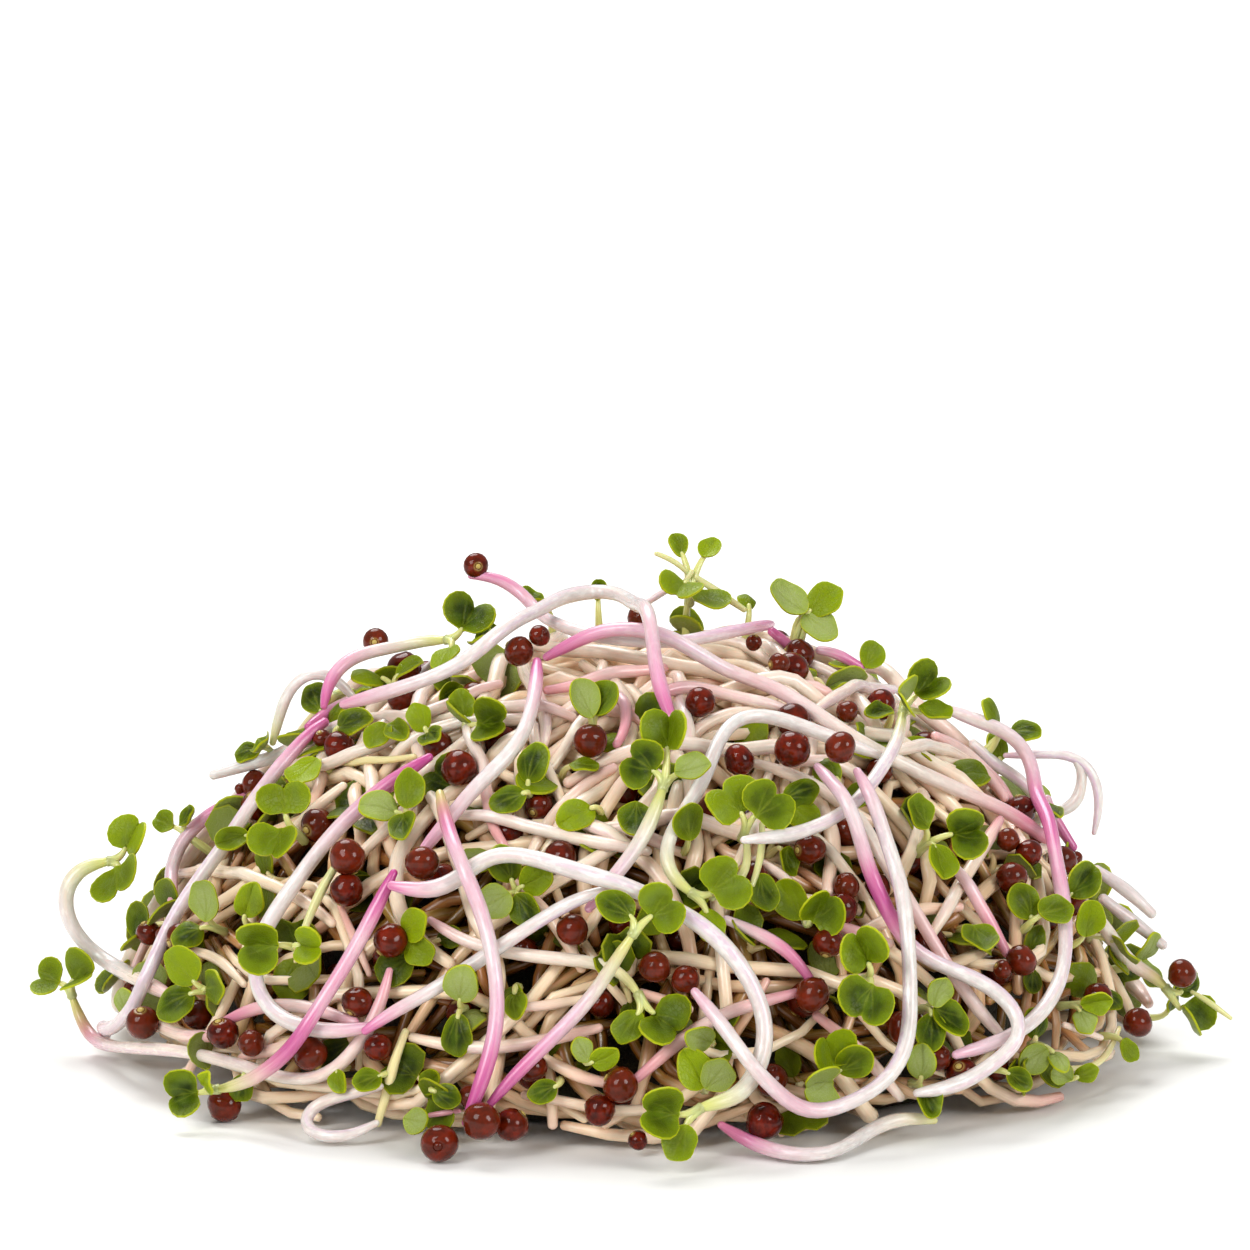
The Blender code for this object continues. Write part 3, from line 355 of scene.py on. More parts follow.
# Leaf bunches that show between the stems: where their stalks meet, how far out they lie,
# and their blades as direction, stalk, width, and 1 where the pale underside shows
BETWEEN_LEAVES = [
    (6, 45.8, 0.8, [(-50, 1.4, 5.2, 0)]),
    (17.4, 43.4, 0.4, [(148, 1.0, 5.6, 1), (38, 1.4, 5.2, 0), (-52, 0.8, 5.2, 1)]),
    (37.4, 28.6, 0.8, [(100, 1.0, 3.4, 0)]),
    (23.2, 37.8, 0.2, [(60, 1.3, 3.6, 0), (150, 1.2, 3.4, 0)]),
    (-30.7, 33.2, 0.6, [(115, 1.4, 4.4, 0), (35, 1.4, 3.4, 0)]),
    (-30, 31.7, 0.3, [(0, 1.5, 5.0, 0)]),
    (-24, 37, 0.2, [(170, 1.4, 4.2, 0), (20, 1.4, 4.0, 0)]),
    (-31, 29.3, 0.3, [(-110, 1.4, 5.0, 0)]),
    (-24, 32.3, -0.2, [(-110, 1.2, 3.8, 0), (-50, 1.2, 3.8, 0)]),
    (-20.2, 31.6, -0.4, [(-60, 1.2, 3.8, 0), (120, 1.2, 3.4, 0)]),
    (-3.8, 32.8, 0.3, [(115, 1.4, 4.8, 1), (60, 1.5, 4.6, 0)]),
    (-10.3, 26, 0.0, [(80, 1.4, 5.0, 0), (205, 1.3, 4.4, 0)]),
    (-22.5, 23.5, 0.3, [(80, 1.4, 4.8, 0), (170, 1.5, 5.0, 1), (-80, 1.4, 4.4, 0)]),
    (-37.5, 21.5, -0.4, [(200, 1.4, 4.0, 0)]),
    (-45, 22, 0.4, [(150, 1.6, 3.4, 0), (20, 1.4, 2.8, 0)]),
    (-42.9, 6, 0.8, [(130, 1.6, 5.4, 0), (200, 1.6, 5.2, 0), (0, 1.6, 4.8, 0)]),
    (-36.5, 30.5, 0.0, [(200, 1.4, 3.2, 0), (-60, 1.2, 3.6, 0)]),
    (-23, 11.5, 0.2, [(20, 1.4, 4.6, 0), (-30, 1.5, 4.6, 0)]),
    (-11.5, 16, 0.3, [(110, 1.5, 4.8, 0), (20, 1.5, 4.4, 0), (-60, 1.4, 4.6, 0), (215, 1.6, 4.8, 1)]),
    (-17, 4.3, 0.1, [(75, 1.6, 5.0, 1), (-95, 1.5, 4.8, 0)]),
    (-11.5, 6.5, 0.0, [(-88, 1.4, 3.2, 0)]),
    (-3, 24.5, 0.0, [(-150, 1.5, 4.8, 0)]),
    (0.5, 25, 0.2, [(-90, 1.5, 5.2, 0)]),
    (5.5, 20.5, 0.1, [(100, 1.4, 4.8, 0)]),
    (15, 25, 0.4, [(20, 1.4, 4.4, 0), (-30, 1.5, 4.4, 0)]),
    (12.7, 17.8, 0.0, [(-80, 1.4, 4.8, 0)]),
    (43.5, 15, 0.6, [(45, 1.4, 5.2, 0)]),
    (40.5, 12.5, 0.2, [(120, 1.4, 4.8, 0), (20, 1.4, 4.6, 0)]),
    (45.2, 10.8, 0.4, [(85, 1.4, 4.6, 0)]),
    (34, 12.5, -0.2, [(-90, 1.5, 5.2, 0)]),
    (29.8, 4.2, 0.5, [(-95, 1.5, 4.6, 0), (-35, 1.5, 5.0, 0), (70, 1.4, 3.6, 1)]),
    (29, -3.5, 0.0, [(90, 1.3, 4.2, 1), (-75, 1.3, 3.8, 0)]),
    (7.6, -4.2, 0.2, [(120, 1.5, 5.2, 0), (55, 1.5, 5.0, 1)]),
    (8.4, 0.6, 0.4, [(165, 1.4, 3.8, 1)]),
    (20.5, -2.8, 0.2, [(110, 1.8, 6.0, 0), (190, 1.8, 6.0, 1), (35, 1.6, 4.8, 0)]),
    (41.5, 0.5, 0.2, [(90, 1.4, 3.8, 0), (-150, 1.4, 4.2, 1), (-60, 1.6, 2.8, 1)]),
    (50.6, 8.6, -1.2, [(80, 1.0, 4.6, 1), (-20, 1.0, 4.2, 1)]),
    (37, 31.5, 0.3, [(120, 1.4, 3.8, 0), (-20, 1.4, 3.8, 0)]),
    (-8.2, 44.5, 0.4, [(160, 1.4, 3.0, 0)]),
    (-3.2, 44.5, 0.3, [(90, 1.2, 2.4, 0)]),
    (12, 44, 0.3, [(90, 1.2, 2.6, 0)]),
    (-42, 12.4, 0.0, [(92, 1.4, 5.0, 1), (200, 1.4, 4.0, 0)]),
    (-38.7, 12.6, -0.2, [(60, 1.4, 4.8, 0)]),
    (-22.4, -6.9, 0.2, [(0, 1.2, 3.8, 1)]),
    (-50, 3.2, 0.0, [(120, 1.2, 3.2, 1)]),
    (54.0, 3.6, 0.2, [(80, 1.2, 3.4, 0)]),
    (44.6, 4.6, 0.2, [(10, 1.3, 3.6, 0), (-80, 1.3, 3.2, 1)]),
    (26.4, 33.4, 0.0, [(210, 1.3, 4.0, 0)]),
    (-15.6, 40.2, 0.0, [(60, 1.2, 3.4, 0), (-40, 1.2, 3.4, 0)]),
    (-24.5, -2.4, 0.0, [(200, 1.2, 3.2, 0)]),
    (-19.8, -4.2, 0.0, [(-20, 1.2, 3.4, 0)]),
    (-29.2, -1.8, 0.0, [(-70, 1.2, 2.8, 0)]),
    (-38.4, -2.2, 0.0, [(-100, 1.2, 3.0, 0)]),
    (-7.2, -3.2, 0.0, [(-160, 1.2, 3.2, 0)]),
    (-4.4, -1.0, 0.0, [(20, 1.2, 3.4, 0), (120, 1.2, 3.0, 1)]),
    (37.2, -2.0, 0.2, [(-30, 1.2, 3.2, 0)]),
    (44.0, -3.0, 0.2, [(150, 1.2, 3.0, 1), (30, 1.2, 2.6, 0)]),
    (48.8, 1.4, 0.2, [(-60, 1.2, 2.8, 0)]),
]

# Loose seed coats that show: x, height, radius, and how far out they lie
BETWEEN_SEEDS = [
    (-14.8, 46.6, 1.3, 1.4, "top_right"), (-25.2, 40.3, 1.4, 0.4, ""), (15, 38.3, 1.2, -0.2, ""),
    (12.4, 40.7, 0.85, 0, ""), (21.8, 33.8, 1.2, 0.2, ""), (-4, 30.9, 1.7, 0.6, ""),
    (10.9, 29, 1.6, 1.0, ""), (-30.8, 31, 1.0, 0.2, ""), (-28.3, 16, 1.65, 0.6, ""),
    (-23.8, 10.7, 1.7, 0.4, ""), (-26.9, 4.7, 1.6, 0.2, ""), (-44.8, 11.2, 1.6, 0.6, ""),
    (-48, 11.6, 1.3, 0.4, ""), (-48.2, 2.5, 1.7, 0.6, ""), (-37.2, 0.3, 1.4, 0.2, ""),
    (-31.8, -0.6, 1.7, 0.4, ""), (-25.4, 0.5, 1.4, 0, ""), (-40.5, -5.8, 1.7, 0.6, ""),
    (-14.4, -7.2, 1.9, 0.6, "steep_middle"), (-2.8, -5.5, 1.6, 0.4, ""), (0.8, -9, 1.0, 0, ""),
    (13.3, -7.2, 1.9, 0.4, ""), (19.8, 10.8, 1.55, 0.2, ""), (2.5, 8.3, 1.6, 0.4, ""),
    (-5.7, 12, 1.6, 0.6, ""), (5.5, 7, 1.4, 0.6, ""), (37.2, 8, 1.0, 0.6, ""),
    (55.1, 7.1, 1.6, 0.8, ""), (50.7, 2.8, 1.6, 0.8, ""), (30.7, -0.7, 1.4, 0.2, ""),
    (33, -2.2, 1.6, 0.2, ""), (37.8, 21, 1.2, 0.2, ""), (39.7, 19.5, 1.4, 0.4, ""),
    (18, 20, 1.6, -0.2, ""), (21.5, 16, 1.4, -0.2, ""), (-16, -4.5, 1.3, 0, ""),
    (19.5, -4.2, 1.1, 0, ""), (44.5, 19.2, 0.8, 0.2, ""), (-39, 26, 0.6, 0.4, ""),
    (2.8, -7.2, 1.3, 0.6, ""), (-9.6, -1.5, 1.5, -0.2, ""), (25.5, 16.5, 1.4, -0.6, ""),
    (-12.5, 22.2, 1.4, -0.8, ""), (8, 24, 1.4, -0.8, ""),
]

# How thick the thinner of them are, where they aren't as thick as the rest
FINE_STEMS = {
    "left_long": 0.82, "left_shoulder": 0.78, "left_white_end": 0.78, "left_thin": 0.5,
    "left_stalk": 0.55, "left_yellow": 0.45, "low_short": 0.6, "loop_thin": 0.4,
    "loop_return": 0.6, "crest_stalk": 0.45, "crest_long": 0.5, "crest_tip": 0.4,
    "crest_left": 0.5, "far_green": 0.4, "far_upper": 0.86, "far_middle": 0.82, "far_low": 0.5,
    "steep_left": 0.7, "centre_thin": 0.6, "upper_short": 0.68, "left_small": 0.6,
    "centre_pair_left": 0.5, "centre_pair_right": 0.46,
}

# How much thicker or thinner than the rest some of the main stems are
GIRTH = {
    "big_bend": 1.13, "top_right": 0.86, "bottom_left_loop": 0.82, "bottom_wave": 0.94,
    "right_arch": 0.68, "left_arch": 0.8, "low_level": 0.86, "left_loop": 1.06,
    "top_left": 0.9, "left_low": 0.88, "right_low": 0.9, "magenta_diagonal": 0.96,
    "wide_bend": 0.96, "right_leaf": 0.9, "left_sweep": 1.04,
    "right_root": 0.5, "low_right_diagonal": 0.94, "low_diagonal": 0.94,
}

# Stems that are green all along, and main stems with only a green tip
ALL_GREEN = {
    "right_root": 0.8, "left_stalk": 0.75, "left_yellow": 0.75, "far_green": 0.75,
    "loop_return": 0.75, "crest_stalk": 0.75, "crest_long": 0.75, "crest_tip": 0.75,
    "centre_pair_left": 0.75, "centre_pair_right": 0.75,
}
GREEN_TIPPED = ("bottom_wave", "steep_middle", "left_arch")

# The routes of the main sprouts in front, and a finer stem that starts on another one
MAIN_ROUTES = {sprout[0]: sprout[2] for sprout in FRONT_SPROUTS}
JOINED_STEM = "right_inner_arch"

# How far seed coats sink in, how thick stems are, and how stalks and blades meet
SEED_BITE = 0.3
MAIN_GIRTH = 0.88
BETWEEN_GIRTH = 0.87
STALK_HIDDEN = 0.85
STALK_IN = 0.35
STALK_GREENNESS = 0.9
MAIN_STALK = (0.55, 0.26)
BETWEEN_STALK = (0.48, 0.24)
LOWEST_BLADE = 0.12

# Main blades turned and moved out a little in their own planes, in degrees and millimetres
TURNED_BLADES = {("crest", 0): (-22, 1.5), ("crest", 1): (24, 1.3)}
PALE_BLADES = {("centre_stalk", 0), ("right_leaf", 2)}
WIDTH_OF_TWO_LOBES = 5.0
WIDTH_OF_TWO_LOBES_BETWEEN = 5.7

# Main leaves whose real width isn't their solid's
REAL_WIDTHS = {
    ("crest", 0): 2.9, ("crest", 1): 3.1, ("crest", 2): 5.2, ("centre_stalk", 0): 4.4,
    ("left_pair", 1): 4.4, ("left_low", 0): 4.0, ("left_low", 1): 6.0, ("right_leaf", 1): 4.0,
}

# Long sprouts over the back: how many are tried and kept, how long, and how far they curl
BACK_TRIES = 150
BACK_LONG_STEMS = 30
BACK_LENGTHS = (38, 84)
BACK_CURL = 0.075
BACK_HIGHEST = 4.6

# The layers of finer stems: how many, how far out, how long, and where
FILL_LAYERS = (
    (66, -0.2, 26, 52, "rear"),
    (144, -1.4, 26, 50, "all"),
    (190, -2.7, 24, 48, "all"),
    (170, -4.2, 24, 46, "all"),
)
FILL_CURL = 0.085

# Leaf bunches and seed coats among them: how many, how far out, and where
FILL_BUNCHES = (
    (62, (0.6, 0.2, -0.8, -1.8), "rear"),
    (48, (-1.2, -1.7, -2.2, -2.8), "front"),
)
FILL_SEEDS = (
    (26, (0.8, 0.2, -1.0), "rear"),
    (54, (-0.8, -1.5, -2.3), "front"),
)

# The eighths of the heap that the finer sprouts are gathered by
EIGHTHS = (
    "right", "back_right", "back", "back_left", "left", "front_left", "front", "front_right",
)

# The blanks: sides and cuts of stems, points and rims of blades, and rings of seed coats
STEM_BLANKS = {"stem": (12, 62), "stem_middle": (9, 30), "stem_plain": (6, 9), "stalk": (7, 7)}
LEAF_BLANKS = {"blade": (26, (0.05, 0.26)), "blade_plain": (14, (0.08, 0.4))}
SEED_BLANKS = {"seed": (18, 11, True), "seed_plain": (10, 7, False)}

# The dark middle, painted in shade: how far out it reaches, how far its foot is tucked in and lifted
CORE_LEVEL = -7.4
CORE_TUCK = 5.0
CORE_FOOT = 0.3

# The levels at which painted shade starts and is full, and how far into it the plainer blanks take over
SHADE_START = 1.3
SHADE_FULL = -3.4
PLAIN_STEMS_FROM = 0.42
PLAIN_BLADES_FROM = 0.4
PLAIN_SEEDS_FROM = 0.55

# Colours of stems
WHITE_FLESH = (0.66, 0.625, 0.595)
BLUSH_FLESH = (0.68, 0.565, 0.54)
LILAC_FLESH = (0.64, 0.48, 0.60)
# Pale fleck marks: partly cloudy flesh, partly painted wet glints
FLECK_AND_GLINT_FLESH = (0.80, 0.765, 0.73)
DULL_FLESH = (0.56, 0.49, 0.47)
CREAM_FLESH = (0.72, 0.635, 0.44)
PINK_FLESH = (0.63, 0.21, 0.37)
MAGENTA_FLESH = (0.43, 0.035, 0.22)
STALK_GREEN = (0.56, 0.58, 0.13)
# Painted shade on stems further into the heap: a warm tint for light that bounces between them, then
# darker brown or olive, and darkest where the shade is deepest
PAINTED_SHADE_WARM = (1.0, 0.735, 0.42)
PAINTED_SHADE_FLESH = (0.55, 0.30, 0.13)
PAINTED_SHADE_OLIVE = (0.44, 0.345, 0.11)
PAINTED_SHADE_DARKEST = (0.42, 0.36, 0.17)

# Colours of seed leaves
LEAF_DARK = (0.017, 0.032, 0.0004)
LEAF_MID = (0.047, 0.083, 0.0005)
LEAF_BRIGHT = (0.245, 0.328, 0.003)
# Painted sheen: pale patches on the blade tops
LEAF_PAINTED_SHEEN = (0.13, 0.185, 0.03)
LEAF_VEIN = (0.21, 0.26, 0.02)
LEAF_RIM = (0.42, 0.45, 0.005)
LEAF_BACK = (0.29, 0.35, 0.10)
LEAF_BACK_NET = (0.38, 0.43, 0.19)
# Painted shade on blades further into the heap
PAINTED_SHADE_LEAF = (0.30, 0.27, 0.15)

# Colours of seed coats, of the middle, painted in shade, and of the table
SEED_DARK = (0.040, 0.003, 0.001)
SEED_RED = (0.175, 0.011, 0.002)
SEED_BROWN = (0.130, 0.022, 0.005)
SEED_NIB = (0.46, 0.34, 0.09)
# Painted shade on seed coats further into the heap
PAINTED_SHADE_SEED = (0.55, 0.5, 0.5)
CORE_SHADE_DARK = (0.016, 0.009, 0.003)
CORE_SHADE_OLIVE = (0.036, 0.036, 0.010)
CORE_SHADE_BROWN = (0.050, 0.020, 0.008)
TABLE_WHITE = (0.86, 0.86, 0.84)

# The lamps: where each stands, how wide it is and how strong
LAMPS = {
    "left_softbox": ((-1.9, -2.2, 1.8), 1.8, 62.0),
    "right_softbox": ((2.1, -1.9, 1.5), 1.4, 46.0),
    "top_softbox": ((-0.5, 1.5, 2.5), 2.0, 72.0),
    "small_bright_lamp": ((-0.9, -1.9, 2.1), 0.22, 8.0),
}
LAMPS_AIM = Vector((0, 0, 0.02))
SKY_LIGHT = 0.42
SENSOR_WIDTH = 36


def unit(vectors):
    """The same directions, each one unit long."""
    return vectors / np.maximum(norm(vectors, axis=-1, keepdims=True), 1e-12)


def turned_by(first, second, angle):
    """Two square directions, turned together in their own plane."""
    return first * cos(angle) + second * sin(angle), second * cos(angle) - first * sin(angle)


def direction_at(turn, rise):
    """The direction that stands a rise over the ground, turned round the upright."""
    flat = sqrt(1 - rise * rise)
    return np.array([flat * cos(turn), flat * sin(turn), rise])


def heap_scale(points):
    """How many times larger the dome would be if its skin ran through each point."""
    x, y, z = points[..., 0], points[..., 1], np.abs(points[..., 2])
    flat = (x / HEAP_HALF_WIDTH) ** 2 + (y / HEAP_HALF_DEPTH) ** 2
    tall = (z / HEAP_HEIGHT) ** HEAP_SHOULDER
    scale = np.maximum(flat + tall, 1e-9) ** 0.55
    for _ in range(6):
        excess = flat / scale**2 + tall / scale**HEAP_SHOULDER - 1
        slope = -2 * flat / scale**3 - HEAP_SHOULDER * tall / scale ** (HEAP_SHOULDER + 1)
        scale = np.maximum(scale - excess / slope, scale * 0.5)
    return scale


def heap_level(points):
    """The distance of each point outside the dome's skin, along the line to its centre."""
    return norm(points, axis=-1) * (1 - 1 / heap_scale(points))


def heap_point(directions, level):
    """Where a line from the dome's centre comes to a level outside its skin."""
    return directions * (1 / heap_scale(directions) + level)[..., None]


def outward(points):
    """The direction square to the dome's skin at each point."""
    sizes = np.array([HEAP_HALF_WIDTH, HEAP_HALF_DEPTH, HEAP_HEIGHT])
    lifted = np.stack([points[..., 0], points[..., 1], np.abs(points[..., 2])], axis=-1)
    return unit(lifted / sizes**2 + np.array([0, 0, 1e-6]))


def toward_view(point, share):
    """A direction between the one square to the skin and the one to the eye."""
    return unit((1 - share) * outward(point) + share * unit(EYE - point))


def length_along(points):
    """How far along a line each of its points is."""
    return np.concatenate([[0], np.cumsum(norm(np.diff(points, axis=0), axis=1))])


def even_steps(points, spacing):
    """The same line, cut into steps of one length."""
    length = length_along(points)
    count = max(2, int(round(length[-1] / spacing)) + 1)
    at = np.linspace(0, length[-1], count)
    return np.stack([np.interp(at, length, points[:, k]) for k in range(points.shape[1])], axis=1)


def smooth_route(points):
    """A Catmull-Rom curve through the given points, with steps of one length."""
    given = np.array(points, float)
    if len(given) == 1:
        return given
    ends = np.vstack([2 * given[0] - given[1], given, 2 * given[-1] - given[-2]])
    fine = []
    for k in range(len(given) - 1):
        a, b, c, d = ends[k : k + 4]
        t = np.linspace(0, 1, 16, endpoint=False)[:, None]
        fine.append(
            b + 0.5 * t * (c - a + t * (2 * a - 5 * b + 4 * c - d + t * (3 * (b - c) + d - a)))
        )
    return even_steps(np.vstack(fine + [given[-1:]]), SAMPLE)


def soften(points, rounds):
    """A line with its inner points drawn towards their neighbours."""
    soft = points.copy()
    for _ in range(rounds):
        soft[1:-1] = (soft[:-2] + 2 * soft[1:-1] + soft[2:]) / 4
    return soft


def way_out(line):
    """The direction in which a line runs out at its last point."""
    return unit(line[-1] - line[-2])


def on_heap(route, level):
    """Sets a route seen from in front on the dome, or on the floor before it."""
    seen = VIEW_RIGHT * route[:, :1] + VIEW_UP * route[:, 1:2]
    rays = unit(seen - EYE)
    reach = norm(seen - EYE, axis=1)
    steps = np.arange(*SIGHT_REACH, SIGHT_STEP)
    points = EYE + rays[:, None, :] * (reach[:, None] + steps)[..., None]
    over_heap = heap_level(points)
    height = np.minimum(over_heap, points[..., 2] - FLOOR_LIFT + level)
    nearest = over_heap.argmin(axis=1)
    hits = (height <= level) & (np.arange(len(steps)) <= nearest[:, None])
    first = np.where(hits.any(axis=1), hits.argmax(axis=1), nearest)
    row = np.arange(len(route))
    before = np.maximum(first - 1, 0)
    drop = height[row, before] - height[row, first]
    share = (height[row, before] - level) / np.maximum(drop, 1e-6)
    share = np.where(hits[row, first] & (drop > 1e-6), share, 1)
    at = steps[before] + np.clip(share, 0, 1) * SIGHT_STEP
    return EYE + rays * (reach + at)[:, None]


def spot_on_heap(x, height, level):
    """One spot seen from in front, set on the dome."""
    return on_heap(np.array([[x, height]], float), level)[0]


def too_close(cloud, radii, others, other_radii, gap):
    """How far each point of a cloud of balls is short of its clearance."""
    short = np.zeros(len(cloud))
    if not len(others):
        return short
    low, high = cloud.min(axis=0) - 5, cloud.max(axis=0) + 5
    near = ((others > low) & (others < high)).all(axis=1)
    if not near.any():
        return short
    apart = norm(cloud[:, None] - others[near][None], axis=2)
    return np.maximum((radii[:, None] + other_radii[near][None] + gap - apart).max(axis=1), 0)


class Pile:
    """What has been laid so far, as balls that the next sprout is bent clear of."""

    def __init__(self):
        self.points = np.zeros((0, 3))
        self.radii = np.zeros(0)

    def add(self, points, radii):
        self.points = np.vstack([self.points, points])
        self.radii = np.concatenate([self.radii, np.broadcast_to(radii, len(points))])

    def settle(self, base, push, radii, extras):
        """Lifts a route off what lies under it, in long low humps. extras ride on its points."""
        count = len(base)
        along = length_along(base)
        spread = np.cos(np.clip(np.abs(along[:, None] - along) / HUMP, 0, 1) * pi / 2) ** 2
        lift = np.zeros(count)
        owner = np.concatenate([np.arange(count)] + [np.full(len(e[1]), e[0]) for e in extras])
        offsets = np.vstack([np.zeros((count, 3))] + [e[1] for e in extras])
        ball = np.concatenate([radii] + [e[2] for e in extras])
        for _ in range(SETTLE_ROUNDS):
            line = soften(base + push * lift[:, None], 6)
            cloud = line[owner] + offsets
            short = too_close(cloud, ball, self.points, self.radii, GAP)
            short = np.maximum(short, (ball + OFF_FLOOR - cloud[:, 2]) * 0.8)
            need = np.zeros(count)
            np.maximum.at(need, owner, short)
            if count > 1:
                apart = norm(line[:, None] - line[None], axis=2)
                later = along[:, None] - along[None] > OWN_BEND
                own = np.where(later, radii[:, None] + radii[None] + GAP - apart, 0).max(axis=1)
                need = np.maximum(need, own)
            if need.max() < SETTLED:
                break
            lift += (spread * (need * 0.5 + SETTLED * (need > SETTLED))[None]).max(axis=1)
        return line


def blade_outline(width, turn):
    """A seed leaf's outline from its stalk, along and across: two lobes and a notch."""
    length = 2.2 + 0.33 * width
    notch = min(max(1.3 * (width / length - 1), 0), 0.62)
    dip = 1 - notch * np.exp(-(((turn - pi) / 0.32) ** 2))
    along = length / 2 * (1 - np.cos(turn) * dip)
    across = width / 2 * np.sin(turn) * (1 - 0.12 * np.cos(turn))
    return along, across, length


def blade_frame(facing, degrees, rise):
    """The blade's direction, its side and its normal, for a leaf that faces a way."""
    flat = turned_by(VIEW_RIGHT, VIEW_UP, radians(degrees))[0]
    flat = unit(flat - facing * flat.dot(facing))
    direction = flat * cos(rise) + facing * sin(rise)
    side = np.cross(facing, flat)
    return direction, side, np.cross(direction, side)


def leaf_part(facing, leaf, rise):
    """A leaf's stalk end, its blade's frame and its outline, from the joint."""
    degrees, stalk, width = leaf
    direction, side, normal = blade_frame(facing, degrees, rise)
    turn = np.linspace(0, 2 * pi, BLADE_POINTS, endpoint=False)
    along, across, length = blade_outline(width, turn)
    base = direction * stalk
    rim = base + direction * along[:, None] + side * across[:, None]
    middle = base + direction * (length * 0.5) - normal * 0.25
    return base, direction, side, normal, rim, middle, width


def leaf_balls(parts):
    """Balls along the stalks and over the blades, from the joint."""
    points = []
    for base, _direction, _side, _normal, rim, middle, _width in parts:
        points += [base * 0.5, base]
        for share in (0.0, 0.35, 0.7, 1.0):
            points += list(middle + (rim - middle) * share)
    return np.array(points)


def from_ends(count):
    """How many samples each sample of a line is away from the nearer end."""
    return np.minimum(np.arange(count), np.arange(count)[::-1])


def taper(count, radius, tip):
    """Stem radii that fall to the tips over the last few samples."""
    return radius * (tip + (1 - tip) * np.clip(from_ends(count) / 5.0, 0, 1))


def clear_rise(facing, leaf, line, radii):
    """Raises a blade off its own stem until it clears it."""
    for degrees in BLADE_RISES:
        balls = leaf_balls([leaf_part(facing, leaf, radians(degrees))])[2:]
        balls = balls + way_out(line) * 1.1 if len(line) > 1 else balls
        sizes = np.full(len(balls), BLADE_THICKNESS * 0.6)
        if too_close(balls, sizes, line - line[-1], radii, 0.35).max() <= 0:
            break
    return radians(degrees)


def push_direction(points, in_front):
    """The way that sprouts are lifted off each other: outward, and up near the floor."""
    way = 0.8 * outward(points) + (0.6 if in_front else 0) * unit(EYE - points)
    near_floor = np.clip(1 - points[..., 2:3] / 9.0, 0, 1)
    return unit(way * (1 - 0.7 * near_floor) + np.array([0, 0, 1.6]) * near_floor)


def lay_sprout(pile, base, seeds, leaves, in_front):
    """Lays one sprout on the pile. Returns its stem's line and its leaves' and seeds' places."""
    if len(base) > 1:
        base = even_steps(soften(base, 8), SAMPLE)
    radii = taper(len(base), STEM_RADIUS, STEM_TIP)
    facing = toward_view(base[-1], 0.5) if in_front else outward(base[-1])
    joint = (way_out(base) if len(base) > 1 else np.zeros(3)) * (STEM_RADIUS + 0.5)
    parts = [leaf_part(facing, leaf, clear_rise(facing, leaf, base, radii)) for leaf in leaves]
    leaf_radius = BLADE_THICKNESS * 0.65
    extras = []
    if parts:
        balls = leaf_balls(parts) + joint
        extras.append((len(base) - 1, balls, np.full(len(balls), leaf_radius)))
    seed_offsets = []
    for x, height, radius in seeds:
        aim = VIEW_RIGHT * x + VIEW_UP * height
        ways = {}
        for end in (0, len(base) - 1):
            spot = EYE + unit(aim - EYE) * norm(base[end] - EYE)
            ways[end] = spot - base[end]
        end = min(ways, key=lambda k: norm(ways[k]))
        least = radius + radii[end] + GAP + 0.1
        offset = unit(ways[end]) * max(norm(ways[end]), least)
        seed_offsets.append((end, offset, radius))
        extras.append((end, offset[None], np.array([radius])))
    line = pile.settle(base, push_direction(base, in_front), radii, extras)
    if len(line) > 1:
        pile.add(line, radii)
    if parts:
        pile.add(leaf_balls(parts) + line[-1] + joint, leaf_radius)
    for end, offset, radius in seed_offsets:
        pile.add((line[end] + offset)[None], radius)
    return line, radii, joint, parts, seed_offsets


def arc_over_heap(draw, facing, reach, level, sink):
    """A stem's route over the dome: a great circle with a slow wave, sunk at its ends."""
    heading = unit(np.cross(facing, unit(np.array([draw.gauss(0, 1) for _ in range(3)]))))
    side = np.cross(facing, heading)
    along = np.linspace(-0.5, 0.5, 24)
    wave = draw.uniform(-0.12, 0.12) * np.cos(along * pi * draw.uniform(1.5, 3.0))
    turn = along * reach
    directions = facing * np.cos(turn)[:, None] + heading * np.sin(turn)[:, None]
    directions = unit(directions + side * wave[:, None])
    directions[:, 2] = np.maximum(directions[:, 2], 0.05)
    directions = unit(directions)
    points = heap_point(directions, level - sink * np.abs(2 * along) ** 5)
    points[:, 2] = np.maximum(points[:, 2], STEM_RADIUS + 0.15)
    return points


def even_direction(index, count, start):
    """Directions spread evenly over the upper half of a ball."""
    return direction_at(start + index * pi * (3 - sqrt(5)), 0.08 + 0.9 * (index + 0.5) / count)


def inner_lines(pile):
    """The shaded stems under the outer sprouts."""
    draw = random.Random(INNER_DRAW)
    lines = []
    for k in range(INNER_STEMS):
        facing = even_direction(k, INNER_STEMS, 0.4)
        reach = draw.uniform(0.62, 0.95)
        level = INNER_LEVEL + draw.uniform(-1.2, 1.2) + INNER_RISE_AT_BACK * max(facing[1], 0)
        line = even_steps(soften(arc_over_heap(draw, facing, reach, level, INNER_SINK), 3), SAMPLE)
        radii = np.full(len(line), STEM_RADIUS * 0.95)
        pile.add(line, radii)
        lines.append((line, radii))
    return lines


